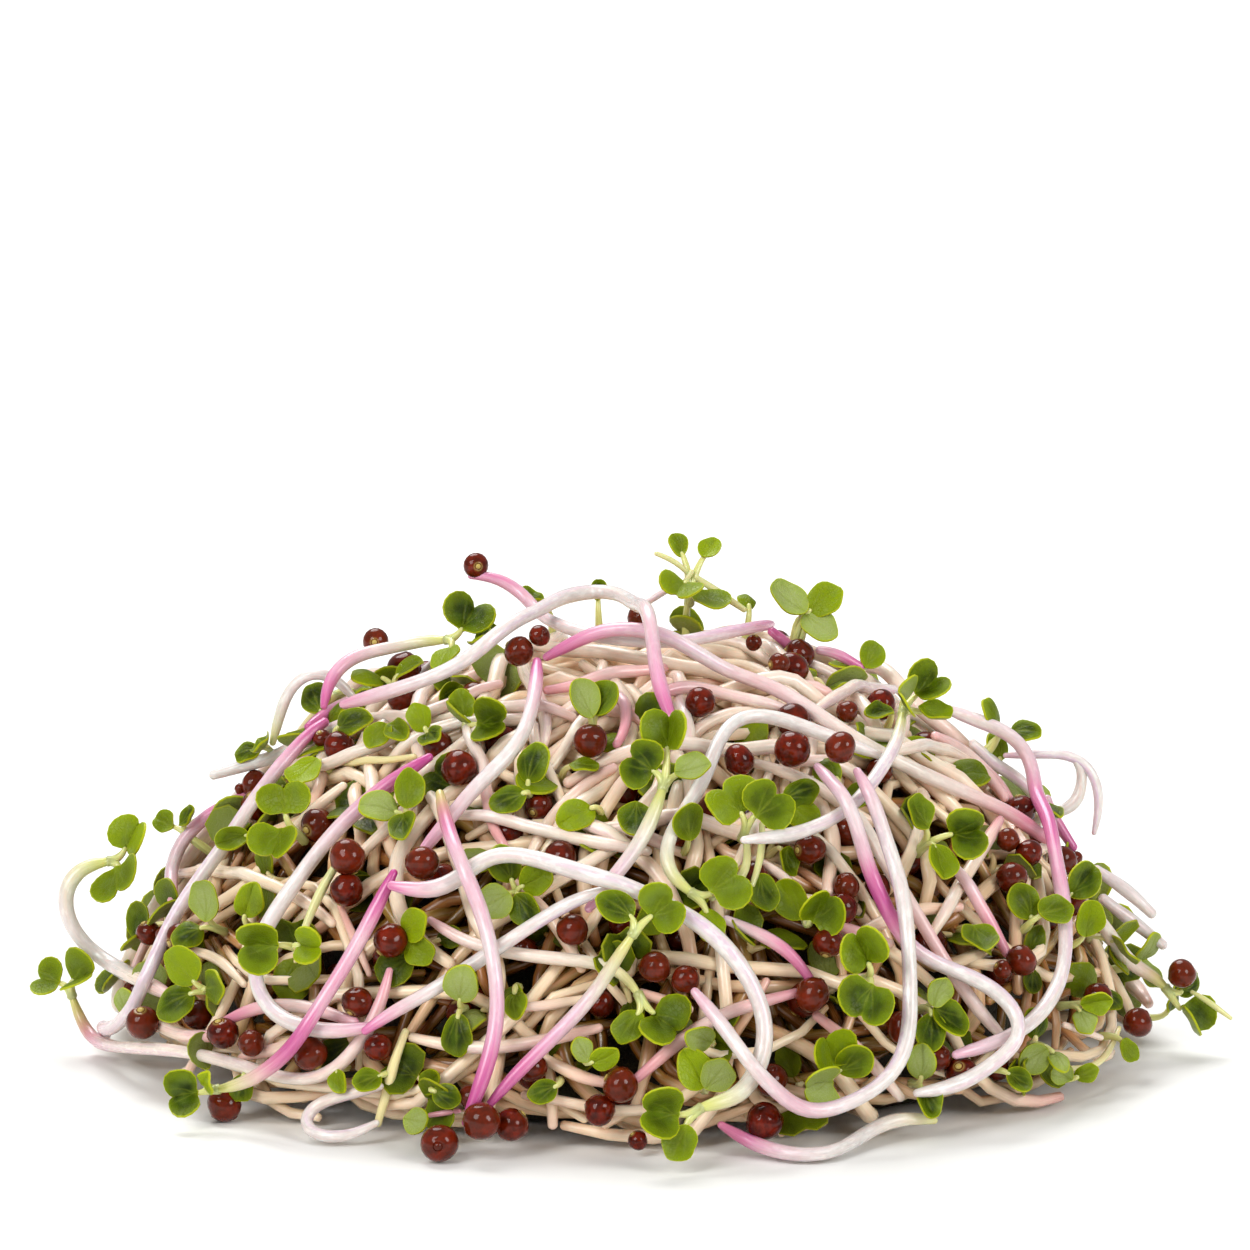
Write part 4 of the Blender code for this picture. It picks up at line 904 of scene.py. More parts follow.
def main_sprouts(pile):
    """The sprouts that the heap's own solids show, front and back, as name and place."""
    sprouts = []
    for name, layer, route, seeds, leaves in FRONT_SPROUTS:
        base = on_heap(smooth_route(route), LOWEST_LAYER + layer * LAYER_RISE)
        sprouts.append((name, lay_sprout(pile, base, seeds, leaves, True)))
    draw = random.Random(BACK_DRAW)
    for k in range(BACK_SPROUTS):
        turn = radians(25 + 130 * (k + 0.5) / BACK_SPROUTS)
        facing = direction_at(turn, 0.42 + 0.4 * ((k * 0.618) % 1))
        base = arc_over_heap(draw, facing, draw.uniform(0.7, 0.95), LOWEST_LAYER + 1.0, 0.0)
        leaves = [(draw.uniform(0, 360), 1.8, draw.uniform(5.5, 7))]
        leaves.append((leaves[0][0] + draw.uniform(130, 190), 1.8, draw.uniform(4.5, 6.5)))
        sprouts.append((f"back_{k + 1}", lay_sprout(pile, base, [], leaves, False)))
    return sprouts


def allowed(points, below, above):
    """The levels that a traced thing may keep to, wherever off the dome it was traced."""
    level = heap_level(points)
    return np.minimum(below, level - 0.5), np.maximum(above, level + 0.4)


class Strand:
    """A stem, a blade or a seed coat that isn't one of the main ones, as a chain of balls."""

    def __init__(self, kind, points, radii, low, high, info=None, held=0.0, hangs_on=None):
        self.kind = kind
        self.points = np.array(points, float)
        self.as_traced = self.points.copy()
        self.radii = np.broadcast_to(np.asarray(radii, float), len(self.points)).copy()
        if kind == "seed":
            self.radii -= SEED_BITE
        self.low = low
        self.high = high
        self.info = info
        self.held = held
        self.hangs_on = hangs_on


def near_pairs(points, radii, everything, own, place):
    """Which balls may come to touch: pairs of a movable one and any other one."""
    tree = kdtree.KDTree(len(everything))
    for k, point in enumerate(everything):
        tree.insert(point, k)
    tree.balance()
    count = len(points)
    first, second = [], []
    for k in range(count):
        mine, at = own[k], place[k]
        for _co, other, _far in tree.find_range(points[k], radii[k] + PAIR_REACH):
            if other >= count or other > k and (own[other] != mine or place[other] - at > OWN_PLACES):
                first.append(k)
                second.append(other)
    return np.array(first), np.array(second)


def ease_apart(strands, fixed_points, fixed_radii):
    """Moves the strands off each other and off what is fixed, a little in every round."""
    sizes = np.array([len(s.points) for s in strands])
    starts = np.concatenate([[0], np.cumsum(sizes)])[:-1]
    own = np.repeat(np.arange(len(strands)), sizes)
    place = np.arange(len(own)) - starts[own]

    def of_each_ball(mark):
        return np.concatenate([np.broadcast_to(getattr(s, mark), len(s.points)) for s in strands])

    low, high, held, radii = (of_each_ball(mark) for mark in ("low", "high", "held", "radii"))
    stiff = np.array([s.kind != "stem" for s in strands])
    points = np.vstack([s.points for s in strands])
    count = len(points)
    every_radius = np.concatenate([radii, fixed_radii])
    every_held = np.concatenate([held, np.ones(len(fixed_radii))])
    inner = (place > 0) & (place < sizes[own] - 1)
    middle = np.nonzero(inner & ~stiff[own])[0]
    for turn in range(EASE_ROUNDS):
        everything = np.vstack([points, fixed_points])
        if turn % PAIRS_LAST == 0:
            first, second = near_pairs(points, radii, everything, own, place)
            loose = np.ones(len(first), bool)
            movable = second < count
            loose[movable] = own[first[movable]] != own[second[movable]]
            loose |= ~stiff[own[first]]
            first, second = first[loose], second[loose]
        a, b = first, second
        gap = everything[a] - everything[b]
        far = norm(gap, axis=1)
        short = np.clip(every_radius[a] + every_radius[b] + EASED_GAP - far, 0, 1.0)
        hit = short > 0
        a, b, gap, far, short = a[hit], b[hit], gap[hit], far[hit], short[hit]
        way = gap / np.maximum(far, 1e-6)[:, None] * short[:, None]
        free = b < count
        share = np.where(free, (1.02 - every_held[a]) / (2.04 - every_held[a] - every_held[b]), 1.0)
        move = np.zeros_like(points)
        number = np.full(count, 1e-6)
        np.add.at(move, a, way * share[:, None])
        np.add.at(number, a, 1)
        np.add.at(move, b[free], -way[free] * (1 - share[free])[:, None])
        np.add.at(number, b[free], 1)
        move /= np.maximum(number, 1)[:, None] ** 0.6
        level = heap_level(points)
        out = push_direction(points, True)
        pull = np.where(level > high, high - level, np.where(level < low, low - level, 0))
        move += out * (pull * 0.25)[:, None]
        along_view = (move * out).sum(axis=1)[:, None] * out
        move = along_view + (move - along_view) * (1 - 0.8 * held)[:, None]
        for _ in range(3):
            softer = move.copy()
            softer[middle] = (move[middle - 1] + 2 * move[middle] + move[middle + 1]) / 4
            move = softer
        for k in np.nonzero(stiff)[0]:
            group = slice(starts[k], starts[k] + sizes[k])
            biggest = np.abs(move[group]).max(axis=0)
            move[group] = np.clip(move[group].mean(axis=0) * 2.0, -biggest, biggest)
        points = points + np.clip(move, -LARGEST_MOVE, LARGEST_MOVE)
        smooth = (points[middle - 1] + points[middle + 1]) / 2 - points[middle]
        points[middle] += smooth * 0.12
        points[:, 2] = np.maximum(points[:, 2], radii + OFF_FLOOR)
    for k, strand in enumerate(strands):
        strand.points = points[starts[k] : starts[k] + sizes[k]]


def join_at_start(strands, joined):
    """Brings the first few millimetres of a stem back to the stem that it touches."""
    for strand in strands:
        if strand.kind == "stem" and strand.info[0] == joined:
            share = np.exp(-((np.arange(len(strand.points)) * SAMPLE / 2.4) ** 2))[:, None]
            strand.points = strand.points * (1 - share) + strand.as_traced * share


def hang_seed_coats(strands):
    """Brings the seed coats back to the stem ends that they hang on, and off the ground."""
    for strand in strands:
        if strand.hangs_on is not None:
            held_by = strand.hangs_on
            line = held_by.points if isinstance(held_by, Strand) else held_by
            centre = strand.points[0]
            tip = line[nearer_end(line, centre)]
            toward = centre - tip
            near = strand.radii[0] + SEED_BITE - 0.12
            strand.points[0] = tip + unit(toward) * min(norm(toward), near)
        if strand.kind == "seed":
            strand.points[0][2] = max(strand.points[0][2], strand.radii[0] + SEED_BITE + OFF_FLOOR)


def blade_strand(joint, facing, leaf, under, low, high, rise, held=0.0):
    """A blade and where it starts, as balls that ease_apart can move."""
    base, direction, side, normal, rim, middle, width = leaf_part(facing, leaf, rise)
    points = np.vstack([middle, middle + (rim[::2] - middle) * 0.75])
    info = (direction, side, normal, width, under)
    strand = Strand("blade", points + joint, 0.38, low, high, info, held)
    strand.base = joint + base
    strand.start = strand.points[0].copy()
    return strand


def nearer_end(line, spot):
    """Which end of a line is nearer to a spot, as an index."""
    return 0 if norm(line[0] - spot) < norm(line[-1] - spot) else -1


def seed_by(line, aim, radius):
    """Where a seed coat sits that hangs on the nearer end of a stem."""
    end = line[nearer_end(line, aim)]
    toward = aim - end
    return end + unit(toward) * max(norm(toward), radius + 0.25)


def traced_strands(sprouts):
    """The finer sprouts, leaf bunches and seed coats that show between the main sprouts."""
    draw = random.Random(TRACED_DRAW)
    strands, bunches = [], []
    for name, level, route, pink, seeds, leaves in BETWEEN_SPROUTS:
        base = even_steps(soften(on_heap(smooth_route(route), level), 8), SAMPLE)
        radii = taper(len(base), FINE_STEMS.get(name, 0.74) * BETWEEN_GIRTH, 0.7)
        limits = allowed(base, level - 1.5, level + 2.0)
        strand = Strand("stem", base, radii, *limits, (name, pink), 0.8)
        strands.append(strand)
        for x, height, radius in seeds:
            spot = seed_by(base, spot_on_heap(x, height, level + 0.6), radius)
            limits = allowed(spot[None], level - 1.5, level + 2.5)
            strands.append(Strand("seed", spot[None], radius, *limits, None, 0.9, strand))
        if leaves:
            bunches.append((strand, level, [(*leaf, 0) for leaf in leaves]))
    lines = {name: laid[0] for name, laid in sprouts}
    for x, height, radius, level, owner in BETWEEN_SEEDS:
        spot = spot_on_heap(x, height, level + 0.4)
        line = lines.get(owner)
        if owner:
            end = nearer_end(line, spot)
            route = MAIN_ROUTES[owner]
            offset = VIEW_RIGHT * (x - route[end][0]) + VIEW_UP * (height - route[end][1])
            spot = seed_by(line, line[end] + offset, radius)
        limits = allowed(spot[None], level - 2.0, level + 4.6)
        strands.append(Strand("seed", spot[None], radius, *limits, None, 0.9, line))
    for x, height, level, leaves in BETWEEN_LEAVES:
        bunches.append((spot_on_heap(x, height, level + 0.6), level, leaves))
    joints = []
    for anchor, level, leaves in bunches:
        spot = anchor.points[-1] if isinstance(anchor, Strand) else anchor
        facing = toward_view(spot, 0.45)
        limits = (level - 2.0, level + 3.0)
        blades = []
        for degrees, stalk, width, under in leaves:
            rise = radians(draw.uniform(4, 46))
            blade = blade_strand(spot, facing, (degrees, stalk, width), under, *limits, rise, 0.75)
            blade.low, blade.high = allowed(blade.points, *limits)
            blades.append(blade)
        strands += blades
        joints.append((anchor, spot, facing, blades))
    return strands, joints


def wander(draw, starts, level, length, curl, spacing):
    """Stems that wander over the dome both ways from their middles, one for each start."""
    count = len(starts)
    steps = int(max(length) / 2 / spacing)
    halves = []
    heading = unit(np.cross(starts, draw.normal(size=(count, 3))))
    bias = draw.normal(size=count) * curl * 0.5
    for way in (1, -1):
        turn_size = draw.uniform(0.3, 1.0, size=(2, count)) * curl
        turn_pace = draw.uniform(0.06, 0.24, size=(2, count))
        turn_start = draw.uniform(0, 6.3, size=(2, count))
        points = heap_point(starts, level)
        ahead = heading * way
        half = [points]
        for k in range(steps):
            out = outward(points)
            ahead = unit(ahead - out * (ahead * out).sum(axis=1)[:, None])
            side = np.cross(out, ahead)
            swing = turn_size * np.sin(turn_pace * k * spacing + turn_start)
            bend = swing.sum(axis=0) * 0.7 + bias * way
            low = np.clip(1 - points[:, 2] / 7.0, 0, 1)
            falling = ahead[:, 2] < 0
            steer = low * falling * np.sign(side[:, 2] + 1e-6) * 0.30
            ahead = unit(ahead + side * ((bend + steer) * spacing)[:, None])
            points = points + ahead * spacing
            points[:, 2] = np.maximum(points[:, 2], 1.0)
            points = heap_point(unit(points), level)
            half.append(points)
        halves.append(half)
    routes = []
    for k in range(count):
        number = max(4, int(length[k] / 2 / spacing))
        back = [p[k] for p in halves[1][1:number]][::-1]
        routes.append(np.array(back + [p[k] for p in halves[0][:number]]))
    return routes


def at_rear(way):
    """Whether a direction points to the back, or to the sides behind."""
    return way[1] > 0.16 or (abs(way[0]) > 0.9 and way[1] > -0.12)


def lies_in(way, where):
    """Whether a direction points to the wanted part of the dome."""
    return where == "all" or at_rear(way) == (where == "rear")


def spread_directions(number, start, where):
    """Directions spread evenly over one part of the dome."""
    total = number
    while True:
        ways = np.array([even_direction(k, total, start) for k in range(total)])
        ways = ways[[lies_in(way, where) for way in ways]]
        if len(ways) >= number:
            return ways[:number]
        total = int(total * 1.25) + 1


def spread_spots(draw, rows, start, lowest):
    """Spots spread over parts of the dome, each with the level that is drawn for it."""
    for number, levels, where in rows:
        for way in spread_directions(number, start, where):
            level = draw.choice(levels)
            spot = heap_point(way[None], np.array([level]))[0]
            spot[2] = max(spot[2], lowest)
            yield spot, level, at_rear(way)


def back_strands(pile, strands, joints):
    """Long sprouts laid over the back and the sides, by a seeded rule, as those in front are."""
    draw = np.random.default_rng(LONG_BACK_DRAW)
    chance = random.Random(LONG_BACK_DRAW)
    level = 1.0
    laid = []
    tries = spread_directions(BACK_TRIES, 0.7, "rear")
    lengths = draw.uniform(*BACK_LENGTHS, size=len(tries))
    routes = wander(draw, tries, level, lengths, BACK_CURL, SAMPLE)
    chance.shuffle(routes)
    for route in routes:
        if len(laid) >= BACK_LONG_STEMS or route[:, 1].min() < 1.5 or route[:, 2].min() < 0.9:
            continue
        base = even_steps(soften(route, 8), SAMPLE)
        radii = taper(len(base), STEM_RADIUS * chance.uniform(0.86, 1.04), 0.6)
        line = pile.settle(base, push_direction(base, False), radii, [])
        if heap_level(line).max() > BACK_HIGHEST:
            continue
        pile.add(line, radii)
        laid.append((line, radii, chance.uniform(0.2, 0.95), chance.choice((0, 0, 0.4))))
        if chance.random() < 0.8:
            add_bunch(chance, strands, joints, line[-1] + way_out(line) * 0.6, level, line)
        if chance.random() < 0.5:
            radius = chance.uniform(1.5, 1.9)
            spot = line[0] + way_out(line[::-1]) * (radius + 0.5)
            limits = (level - 1.5, level + 2.6)
            strands.append(Strand("seed", spot[None], radius, *limits, None, 0.9, line))
    return laid


def fill_strands(strands, joints):
    """Finer sprouts all round, and in the shade inside, by a seeded rule."""
    draw = np.random.default_rng(FILL_DRAW)
    chance = random.Random(FILL_DRAW)
    for number, level, least, most, where in FILL_LAYERS:
        ways = spread_directions(number, level * 1.7, where)
        lengths = draw.uniform(least, most, size=len(ways))
        lines = wander(draw, ways, level, lengths, FILL_CURL, FILL_SAMPLE)
        for k, (way, line) in enumerate(zip(ways, lines)):
            low_in_front = level > -3 and k % 5 < 2 and way[2] < 0.6 and way[1] < 0
            if low_in_front or where == "rear" and line[:, 1].min() < -3:
                continue
            radius = chance.uniform(0.48, 0.70) * (1.15 if way[2] > 0.6 else 1.0)
            dive = np.abs(np.linspace(-1, 1, len(line))) ** 3 * chance.uniform(0.2, 1.6)
            wave = np.sin(np.linspace(0, chance.uniform(3, 8), len(line)) + chance.uniform(0, 6))
            line = line + outward(line) * (0.6 * wave - dive)[:, None]
            pink = (chance.choice((0, 0, 0.3, 0.7)), chance.choice((0, 0, 0.3)))
            radii = taper(len(line), radius, 0.75)
            strands.append(Strand("stem", line, radii, level - 2.0, level + 1.2, ("fill", pink)))
            if at_rear(way) and level > -2 and k % 3 == 0:
                add_bunch(chance, strands, joints, line[-1], level, None)
            if k % 8 == 0 and (at_rear(way) or level < -1.5):
                spot = line[0] + way_out(line[::-1]) * 2.2
                radius = chance.uniform(1.35, 1.75)
                strands.append(Strand("seed", spot[None], radius, level - 1.5, level + 1.6))
    for spot, level, rear in spread_spots(chance, FILL_BUNCHES, 0.9, 1.6):
        add_bunch(chance, strands, joints, spot, level, None, rear)
    for spot, level, _rear in spread_spots(chance, FILL_SEEDS, 2.3, 1.7):
        radius = chance.uniform(1.35, 1.8)
        strands.append(Strand("seed", spot[None], radius, level - 1.5, level + 1.4))


def add_bunch(draw, strands, joints, spot, level, line, large=True):
    """A pair of seed leaves on the dome, in any direction, or at a stem's end."""
    out = outward(spot)
    facing = unit(out + np.array([draw.gauss(0, 0.35) for _ in range(3)]))
    turn = draw.uniform(0, 360)
    held = 0.75 if line is not None else 0.0
    blades = []
    for k in range(2 if draw.random() < 0.8 else 3):
        degrees = turn + k * draw.uniform(110, 190)
        width = draw.uniform(6.2, 7.6) if draw.random() < 0.6 else draw.uniform(3.4, 4.8)
        width = width if large else width * 0.8
        leaf = (degrees, draw.uniform(1.3, 2.2), width)
        under = 1 if draw.random() < 0.18 else 0
        rise = radians(draw.uniform(4, 34))
        blades.append(blade_strand(spot, facing, leaf, under, level - 1.6, level + 2.4, rise, held))
    strands += blades
    joints.append((spot if line is None else line, spot, facing, blades))


# Blanks: one of each shape, modelled once. Every stem, blade and seed coat is a copy.


def open_edit():
    bpy.ops.object.mode_set(mode="EDIT")


def close_edit():
    bpy.ops.object.mode_set(mode="OBJECT")


def pick(blank, domain, wanted):
    """Selects the edges or faces that a test picks, by their place."""
    open_edit()
    bpy.ops.mesh.select_mode(type={"edges": "EDGE", "polygons": "FACE"}[domain])
    bpy.ops.mesh.select_all(action="DESELECT")
    close_edit()
    for item in getattr(blank.data, domain):
        item.select = wanted(item)
    open_edit()


def stem_blank(sides, cuts):
    """A straight stem: one unit long, one unit in radius, closed by a low dome at each end."""
    bpy.ops.mesh.primitive_cylinder_add(vertices=sides, radius=1, depth=1, location=(0, 0, 0.5))
    blank = bpy.context.active_object
    bpy.ops.object.transform_apply(location=True)
    corners = blank.data.vertices
    pick(blank, "edges", lambda e: len({corners[k].co.z > 0.5 for k in e.vertices}) == 2)
    bpy.ops.mesh.subdivide(number_cuts=cuts)
    for height, way in ((0, -1), (1, 1)):
        pick(blank, "polygons", lambda f: abs(f.center.z - height) < 1e-4 and abs(f.normal.z) > 0.9)
        bpy.ops.mesh.inset(thickness=0.3)
        bpy.ops.transform.translate(value=(0, 0, 0.45 * way))
        bpy.ops.mesh.inset(thickness=0.35)
        bpy.ops.transform.translate(value=(0, 0, 0.2 * way))
        close_edit()
    return take_blank(blank)


def leaf_blank(points, bands):
    """A flat round blade: one unit in radius, one unit thick, with a narrow rim band."""
    bpy.ops.mesh.primitive_circle_add(vertices=points, fill_type="NGON", location=(0, 0, 0))
    blank = bpy.context.active_object
    pick(blank, "polygons", lambda f: True)
    for band in bands:
        bpy.ops.mesh.inset(thickness=band)
    bpy.ops.mesh.poke()
    close_edit()
    thick = blank.modifiers.new("thick", "SOLIDIFY")
    thick.thickness = 1
    thick.offset = 0
    bpy.ops.object.modifier_apply(modifier="thick")
    return take_blank(blank)


def seed_blank(segments, rings, with_eye):
    """A seed coat: a ball, a little flattened, with a sunken eye where the root came out."""
    bpy.ops.mesh.primitive_uv_sphere_add(
        segments=segments, ring_count=rings, radius=1, location=(0, 0, 0)
    )
    blank = bpy.context.active_object
    pick(blank, "polygons", lambda f: f.center.z < -0.1)
    bpy.ops.transform.resize(value=(0.95, 0.9, 0.96))
    if with_eye:
        pick(blank, "polygons", lambda f: f.center.z > 0.93)
        bpy.ops.mesh.inset(thickness=0.05)
        bpy.ops.transform.translate(value=(0.02, 0, -0.05))
        bpy.ops.mesh.inset(thickness=0.06)
        bpy.ops.transform.translate(value=(0, 0, 0.10))
    close_edit()
    return take_blank(blank)


def take_blank(blank):
    """The blank's corners and faces, so that copies of it can be set in place."""
    mesh = blank.data
    points = np.zeros(len(mesh.vertices) * 3)
    mesh.vertices.foreach_get("co", points)
    corners = np.zeros(len(mesh.loops), int)
    mesh.loops.foreach_get("vertex_index", corners)
    sizes = np.zeros(len(mesh.polygons), int)
    mesh.polygons.foreach_get("loop_total", sizes)
    bpy.data.objects.remove(blank, do_unlink=True)
    return points.reshape(-1, 3), corners, sizes


class Batch:
    """Copies of blanks that become one piece, with the marks that its finish reads."""

    def __init__(self):
        self.points, self.corners, self.sizes = [], [], []
        self.marks = {}
        self.total = 0

    def add(self, points, blank, marks):
        self.points.append(points)
        self.corners.append(blank[1] + self.total)
        self.sizes.append(blank[2])
        for name, values in marks.items():
            values = np.broadcast_to(values, (len(points), *np.shape(values)[1:]))
            self.marks.setdefault(name, []).append(values)
        self.total += len(points)

    def finish(self, name, finish, slot, stands_for=None):
        mesh = bpy.data.meshes.new(name)
        points = np.vstack(self.points) * MM
        corners = np.concatenate(self.corners)
        sizes = np.concatenate(self.sizes)
        mesh.vertices.add(len(points))
        mesh.vertices.foreach_set("co", points.ravel())
        mesh.loops.add(len(corners))
        mesh.loops.foreach_set("vertex_index", corners)
        mesh.polygons.add(len(sizes))
        mesh.polygons.foreach_set("loop_start", np.concatenate([[0], np.cumsum(sizes)[:-1]]))
        mesh.polygons.foreach_set("loop_total", sizes)
        mesh.update(calc_edges=True)
        mesh.validate()
        for mark, values in self.marks.items():
            values = np.concatenate(values).astype(np.float32)
            kind, field = ("FLOAT_VECTOR", "vector") if values.ndim == 2 else ("FLOAT", "value")
            mesh.attributes.new(mark, kind, "POINT").data.foreach_set(field, values.ravel())
        mesh.shade_smooth()
        mesh.set_sharp_from_angle(angle=radians(62))
        mesh.materials.append(finish)
        piece = bpy.data.objects.new(name, mesh)
        bpy.context.scene.collection.objects.link(piece)
        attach(piece, "root")
        if stands_for:
            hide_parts(stands_for)


def frames_along(line):
    """A tangent and two square directions at each point of a line, without any twist."""
    tangents = unit(np.gradient(line, axis=0))
    normals = np.zeros_like(line)
    normal = np.cross(tangents[0], [0.3, 0.5, 0.81])
    for k, tangent in enumerate(tangents):
        normal = normal - tangent * normal.dot(tangent)
        normal = normal / norm(normal)
        normals[k] = normal
    return tangents, normals, np.cross(tangents, normals)


def bend_stem(batch, blank, line, radii, pink, green, painted_shade, draw):
    """Sets a copy of the straight blank along a line. The marks follow it."""
    shape = blank[0]
    tangents, normals, others = frames_along(line)
    upright = np.clip(shape[:, 2:], 0, 1)
    share = upright[:, 0] * (len(line) - 1)
    low = np.minimum(share.astype(int), len(line) - 2)
    part = (share - low)[:, None]

    def between(values):
        values = values if np.ndim(values) == 2 else np.broadcast_to(values, len(line))[:, None]
        return values[low] * (1 - part) + values[low + 1] * part

    radius = between(radii)
    points = between(line) + between(tangents) * (shape[:, 2:] - upright) * radius
    points = points + (between(normals) * shape[:, :1] + between(others) * shape[:, 1:2]) * radius
    length = norm(np.diff(line, axis=0), axis=1).sum()
    grain = shape.copy()
    grain[:, 2] = shape[:, 2] * length * 0.06 + draw.uniform(0, 40)
    marks = {"pink": pink, "green": green, "painted_shade": painted_shade}
    marks = {name: between(values)[:, 0] for name, values in marks.items()}
    batch.add(points, blank, {**marks, "grain": grain})


def lobed_outline(width, bearing):
    """Two round lobes side by side, as distances from the middle of the blade."""
    lobe = width / 3.6
    apart = lobe * 0.84
    reach = apart * np.sin(bearing) + np.sqrt(lobe**2 - (apart * np.cos(bearing)) ** 2)
    stalkward = np.clip((bearing - 2.35) / 0.79, 0, 1)
    return reach * (1 - stalkward) + lobe * 1.02 * stalkward, lobe, apart


def round_outline(width, bearing):
    """One round lobe, which is what shows of a blade that is folded shut."""
    lobe = width / 2
    reach = lobe * (1 - 0.05 * np.exp(-((bearing / 0.22) ** 2)) + 0.03 * np.cos(bearing) ** 2)
    return reach, lobe, 0.0


def set_blade(batch, blank, base, frame_of, width, two_lobes, under, painted_shade, draw):
    """Sets a copy of the round blank as a seed leaf: two lobes, folded, cupped, a little wavy."""
    shape = blank[0]
    out = np.hypot(shape[:, 0], shape[:, 1])
    turn = np.arctan2(shape[:, 1], shape[:, 0])
    bearing = np.abs(turn)
    direction, side, normal = frame_of
    side, normal = turned_by(side, normal, draw.uniform(-0.4, 0.4))
    base = base - direction * STALK_HIDDEN
    if two_lobes:
        reach, lobe, apart = lobed_outline(2.5 + 0.64 * width, bearing)
        fold = draw.uniform(0.05, 0.8)
    else:
        reach, lobe, apart = round_outline(0.75 + 0.64 * width, bearing)
        fold = draw.uniform(-0.1, 0.5)
    bulge = draw.uniform(0, 6)
    uneven = 0.012 + 0.034 * (0.5 + 0.5 * sin(9 * bulge)) ** 2
    reach = reach * (1 + 0.035 * np.sin(2 * turn + bulge) + 0.025 * np.sin(3 * turn + 2 * bulge))
    reach = reach * (1 + uneven * np.sin(5 * turn + 3 * bulge) * np.clip(2.6 - bearing, 0, 1))
    along = lobe * 1.02 + reach * out * np.cos(bearing)
    across = reach * out * np.sin(bearing) * np.sign(turn)
    lean = draw.uniform(0.86, 1.08)
    across = np.where(across > 0, across * lean, across)
    wing = np.sqrt(across**2 + 0.09) - 0.3
    middle = np.hypot(along - lobe, np.abs(across) - apart) / lobe
    droop = draw.uniform(-0.03, 0.07)
    cup = draw.uniform(-0.65, 0.75)
    wave = draw.uniform(0.02, 0.12)
    phase = draw.uniform(0, 6)
    height = wing * sin(fold) + cup * middle**2 - droop * along**2
    height = height + wave * out**2 * np.sin(4 * turn + phase) * 1.4
    spread = np.sign(across) * (wing * cos(fold) + np.minimum(np.abs(across), 0.3) * 0.2)
    thickness = 0.40 * (1 - 0.5 * out**3)
    points = base + direction * along[:, None] + side * spread[:, None]
    turned = normal * cos(fold) - side * (np.sign(across) * sin(fold))[:, None]
    points = points + normal * height[:, None] + turned * (shape[:, 2] * thickness)[:, None]
    points[:, 2] += max(LOWEST_BLADE - points[:, 2].min(), 0)
    place = np.stack([along, across, np.full(len(along), draw.uniform(0, 50))], axis=1)
    marks = {"rim": out, "under": np.abs((shape[:, 2] < 0) - under), "place": place}
    batch.add(points, blank, {**marks, "tone": draw.uniform(0, 1), "painted_shade": painted_shade})


def set_stalk(batch, blank, start, ahead, base, direction, ends, painted_shade, draw):
    """A leaf stalk: a short curve from the stem's end to the blade's base."""
    end = base + direction * (STALK_IN - STALK_HIDDEN)
    far = norm(end - start)
    t = np.linspace(0, 1, 8)[:, None]
    a, b = start + ahead * far * 0.35, end - direction * far * 0.35
    curve = (1 - t) ** 3 * start + 3 * t * (1 - t) ** 2 * a + 3 * t * t * (1 - t) * b + t**3 * end
    curve[:, 2] = np.maximum(curve[:, 2], 0.65)
    radii = np.linspace(*ends, len(curve))
    bend_stem(batch, blank, curve, radii, 0.0, STALK_GREENNESS, painted_shade, draw)


def set_seed(batch, blank, centre, radius, painted_shade, draw):
    """Sets a copy of the seed coat, turned any way."""
    turned = np.array(
        Matrix.Rotation(draw.uniform(0, 6.28), 3, "Z")
        @ Matrix.Rotation(draw.uniform(0.2, 2.9), 3, "X")
        @ Matrix.Rotation(draw.uniform(0, 6.28), 3, "Z")
    )
    shape = blank[0] * np.array([1.0, draw.uniform(0.92, 1.0), draw.uniform(0.9, 1.0)])
    points = centre + shape @ turned.T * radius
    nib = np.clip((blank[0][:, 2] - 0.9) / 0.1, 0, 1) * (draw.random() < 0.6)
    marks = {"nib": nib, "place": blank[0] + draw.uniform(0, 40), "painted_shade": painted_shade}
    batch.add(points, blank, {**marks, "tone": draw.uniform(0, 1)})


# Finishes


